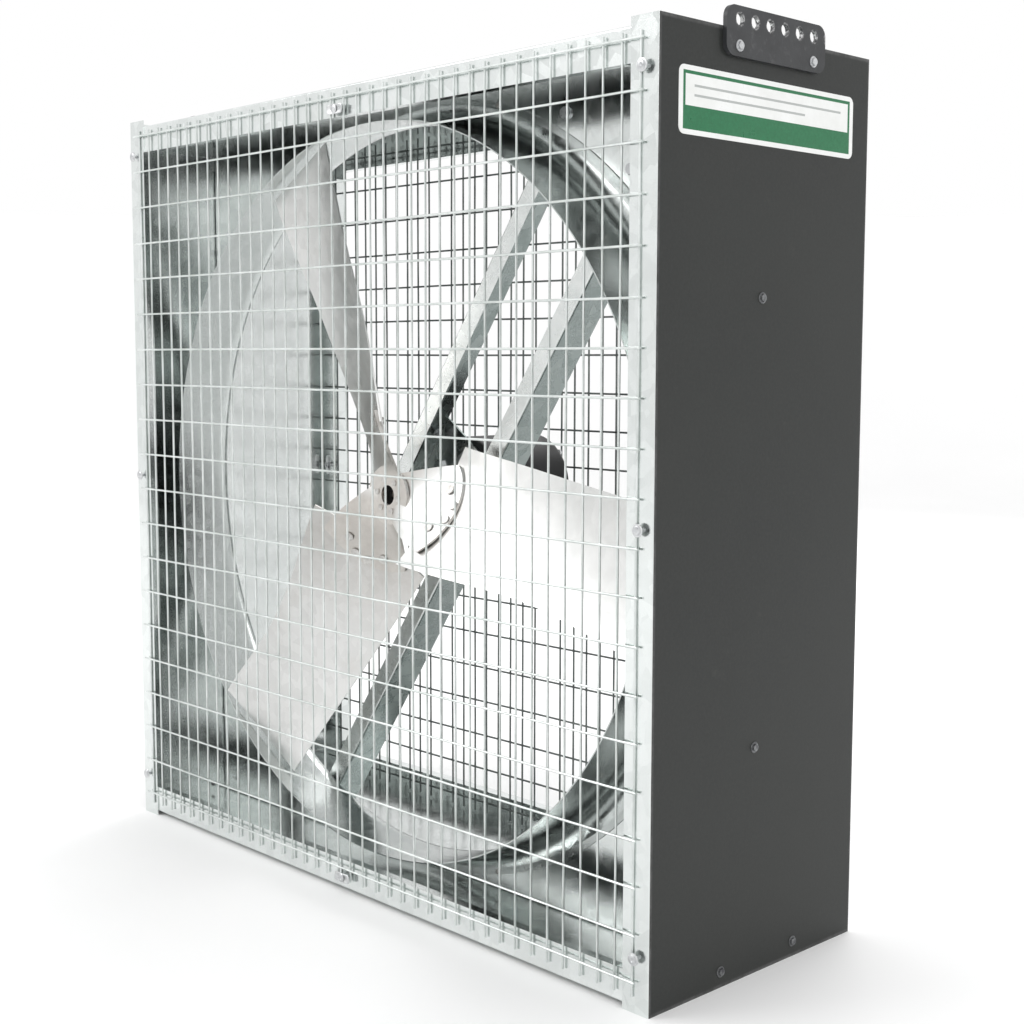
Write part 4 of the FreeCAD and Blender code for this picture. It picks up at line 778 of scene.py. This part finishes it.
def add_clip(bm, low, high):
    """Pressed strip with rounded corners and a raised rib round its edge, facing forward."""
    middle = (low + high) / 2
    half = (high - low) / 2
    thick = high.y - low.y
    rings = []
    for inset, depth in ((0.0, thick / 2), (0.0, -thick * 0.2), (0.0005, -thick / 2),
                         (0.0016, -thick / 2), (0.0024, -thick * 0.15)):
        ring = []
        for angle in angles(CLIP_POINTS):
            across = rounded(math.cos(angle), half.x - inset)
            up = rounded(math.sin(angle), half.z - inset)
            ring.append(bm.verts.new(Vector(
                (middle.x + across, middle.y + depth, middle.z + up))))
        rings.append(ring)
    loft(bm, rings)


def rounded(direction, half):
    """Coordinate on a box with softened corners, from a direction's cosine or sine."""
    size = half * min(1.0, abs(direction) ** 0.45 * 1.02)
    return math.copysign(size, direction)


def build_side_screws():
    """Hex washer-head screws on both side panels and on the hanging brackets."""
    for node, slot in (("wall_screws_left", "wall_screw"), ("wall_screws_right", "wall_screw"),
                       ("hanger_screws_left", "screw_zinc"),
                       ("hanger_screws_right", "screw_zinc")):
        bm = bmesh.new()
        for low, high in islands(node):
            middle = (low + high) / 2
            outward = math.copysign(1.0, middle.x)
            tip = high.x if outward > 0 else low.x
            centre = Vector((tip - outward * SCREW_HEAD, middle.y, middle.z))
            add_washer_screw(bm, centre, (outward, 0, 0), SIDE_FLANGE)
            add_shank(bm, centre, (-outward, 0, 0), SHANK, high.x - low.x - SCREW_HEAD)
        finish_piece(node + "_detail", bm, slot, "housing", node)


def build_guard_fixings():
    """Clips and washers under pan-head screws at the front; clips under hex bolts behind."""
    bm = bmesh.new()
    for low, high in islands("front_guard_clips"):
        if abs((high.x - low.x) - (high.z - low.z)) < 0.001:
            add_washer(bm, low, high)
        else:
            add_clip(bm, low, high)
    finish_piece("front_clips_detail", bm, "clip_zinc", "housing", "front_guard_clips")
    bm = bmesh.new()
    for low, high in islands("front_guard_screws"):
        middle = (low + high) / 2
        centre = Vector((middle.x, low.y + PAN_HEAD, middle.z))
        add_turned(bm, frame_on(centre, (0, -1, 0)), PAN_OUTLINE)
        add_shank(bm, centre, (0, 1, 0), SHANK, high.y - low.y - PAN_HEAD)
    finish_piece("front_screws_detail", bm, "screw_zinc", "housing", "front_guard_screws")
    bm = bmesh.new()
    for low, high in islands("rear_guard_clips"):
        add_clip(bm, low, high)
    finish_piece("rear_clips_detail", bm, "clip_zinc", "housing", "rear_guard_clips")
    bm = bmesh.new()
    for low, high in islands("rear_guard_bolts"):
        middle = (low + high) / 2
        centre = Vector((middle.x, high.y - SCREW_HEAD, middle.z))
        add_washer_screw(bm, centre, (0, 1, 0), REAR_FLANGE)
        add_shank(bm, centre, (0, -1, 0), SHANK, high.y - low.y - SCREW_HEAD)
    finish_piece("rear_bolts_detail", bm, "screw_zinc", "housing", "rear_guard_bolts")


def build_panel_bolts():
    """Strut bolts and ring rivets with formed heads."""
    bm = bmesh.new()
    for low, high in islands("strut_bolts"):
        middle = (low + high) / 2
        centre = Vector((middle.x, low.y + BOLT_HEAD, middle.z))
        matrix = frame_on(centre, (0, -1, 0))
        add_turned(bm, matrix, BOLT_WASHER_OUTLINE)
        add_hex(bm, matrix, 0.0074, 0.0010, BOLT_HEAD, random.uniform(0, 1))
        add_shank(bm, centre, (0, 1, 0), BOLT_SHANK, high.y - centre.y, 16)
    finish_piece("strut_bolts_detail", bm, "screw_zinc", "housing", "strut_bolts")
    bm = bmesh.new()
    for low, high in islands("ring_rivets"):
        middle = (low + high) / 2
        centre = Vector((middle.x, low.y + RIVET_HEAD, middle.z))
        length = high.y - low.y - RIVET_HEAD
        add_turned(bm, frame_on(centre, (0, -1, 0)), RIVET_OUTLINE)
        add_turned(bm, frame_on(centre, (0, 1, 0)),
                   ((0.0023, 0.0), (0.0023, length - 0.0012), (0.0018, length), (0.0, length)), 14)
    finish_piece("ring_rivets_detail", bm, "rivet_zinc", "housing", "ring_rivets")


# ---------------------------------------------------------------- room, light and camera

def build_room():
    """Pale floor whose edge curves up all the way round."""
    profile = [(0.0, 0.0), (FLOOR_REACH, 0.0)]
    for index in range(1, FLOOR_STEPS + 1):
        angle = math.pi / 2 * index / FLOOR_STEPS
        profile.append((FLOOR_REACH + FLOOR_CURVE * math.sin(angle),
                        FLOOR_CURVE * (1 - math.cos(angle))))
    bm = bmesh.new()
    add_turned(bm, Matrix.Translation((0, 0, CAD_BOX[0][2])), profile, 96, closed=False)
    room = add_mesh("room_floor", bm, floor_material())


def build_world():
    """Even white light from all round, which is the white background too."""
    world = bpy.data.worlds.new("studio")
    bpy.context.scene.world = world
    world.use_nodes = True
    tree = world.node_tree
    tree.nodes.clear()
    output = tree.nodes.new("ShaderNodeOutputWorld")
    background = tree.nodes.new("ShaderNodeBackground")
    background.inputs["Color"].default_value = (1.0, 1.0, 1.0, 1.0)
    background.inputs["Strength"].default_value = 1.0
    tree.links.new(background.outputs[0], output.inputs[0])


def add_light(name, place, target, size, energy):
    """Rectangular soft light at a place, aimed at a target; energy in watts."""
    light = bpy.data.lights.new(name, "AREA")
    light.shape = "RECTANGLE"
    light.size, light.size_y = size
    light.energy = energy
    holder = add_object(name, light)
    holder.location = place
    aim = Vector(target) - Vector(place)
    holder.rotation_euler = aim.to_track_quat("-Z", "Y").to_euler()


def build_camera():
    """Camera at the photograph's viewing angle."""
    camera = bpy.data.cameras.new("camera")
    camera.lens = CAMERA_LENS
    camera.sensor_width = 36.0
    camera.clip_start = 0.05
    holder = add_object("camera", camera)
    holder.location = CAMERA_PLACE
    holder.rotation_euler = [math.radians(turn) for turn in CAMERA_TURN]
    bpy.context.scene.camera = holder


dress_cad_nodes()
build_guard("front_guard_mesh", "front_guard")
build_guard("rear_guard_mesh", "rear_guard", SHADED_REAR_WIRE)
build_side_screws()
build_guard_fixings()
build_panel_bolts()
build_room()
build_world()
add_light("key", (-2.6, -3.4, 3.4), (0, 0, 0.5), (2.6, 2.0), 60.0)
add_light("fill", (3.4, -2.2, 2.6), (0, 0, 0.5), (2.0, 2.0), 14.0)
add_light("back", (-0.8, 3.4, 2.6), (0, 0.2, 0.6), (3.0, 2.0), 60.0)
build_camera()
bpy.context.scene.view_settings.view_transform = "Standard"

bpy.context.view_layer.update()
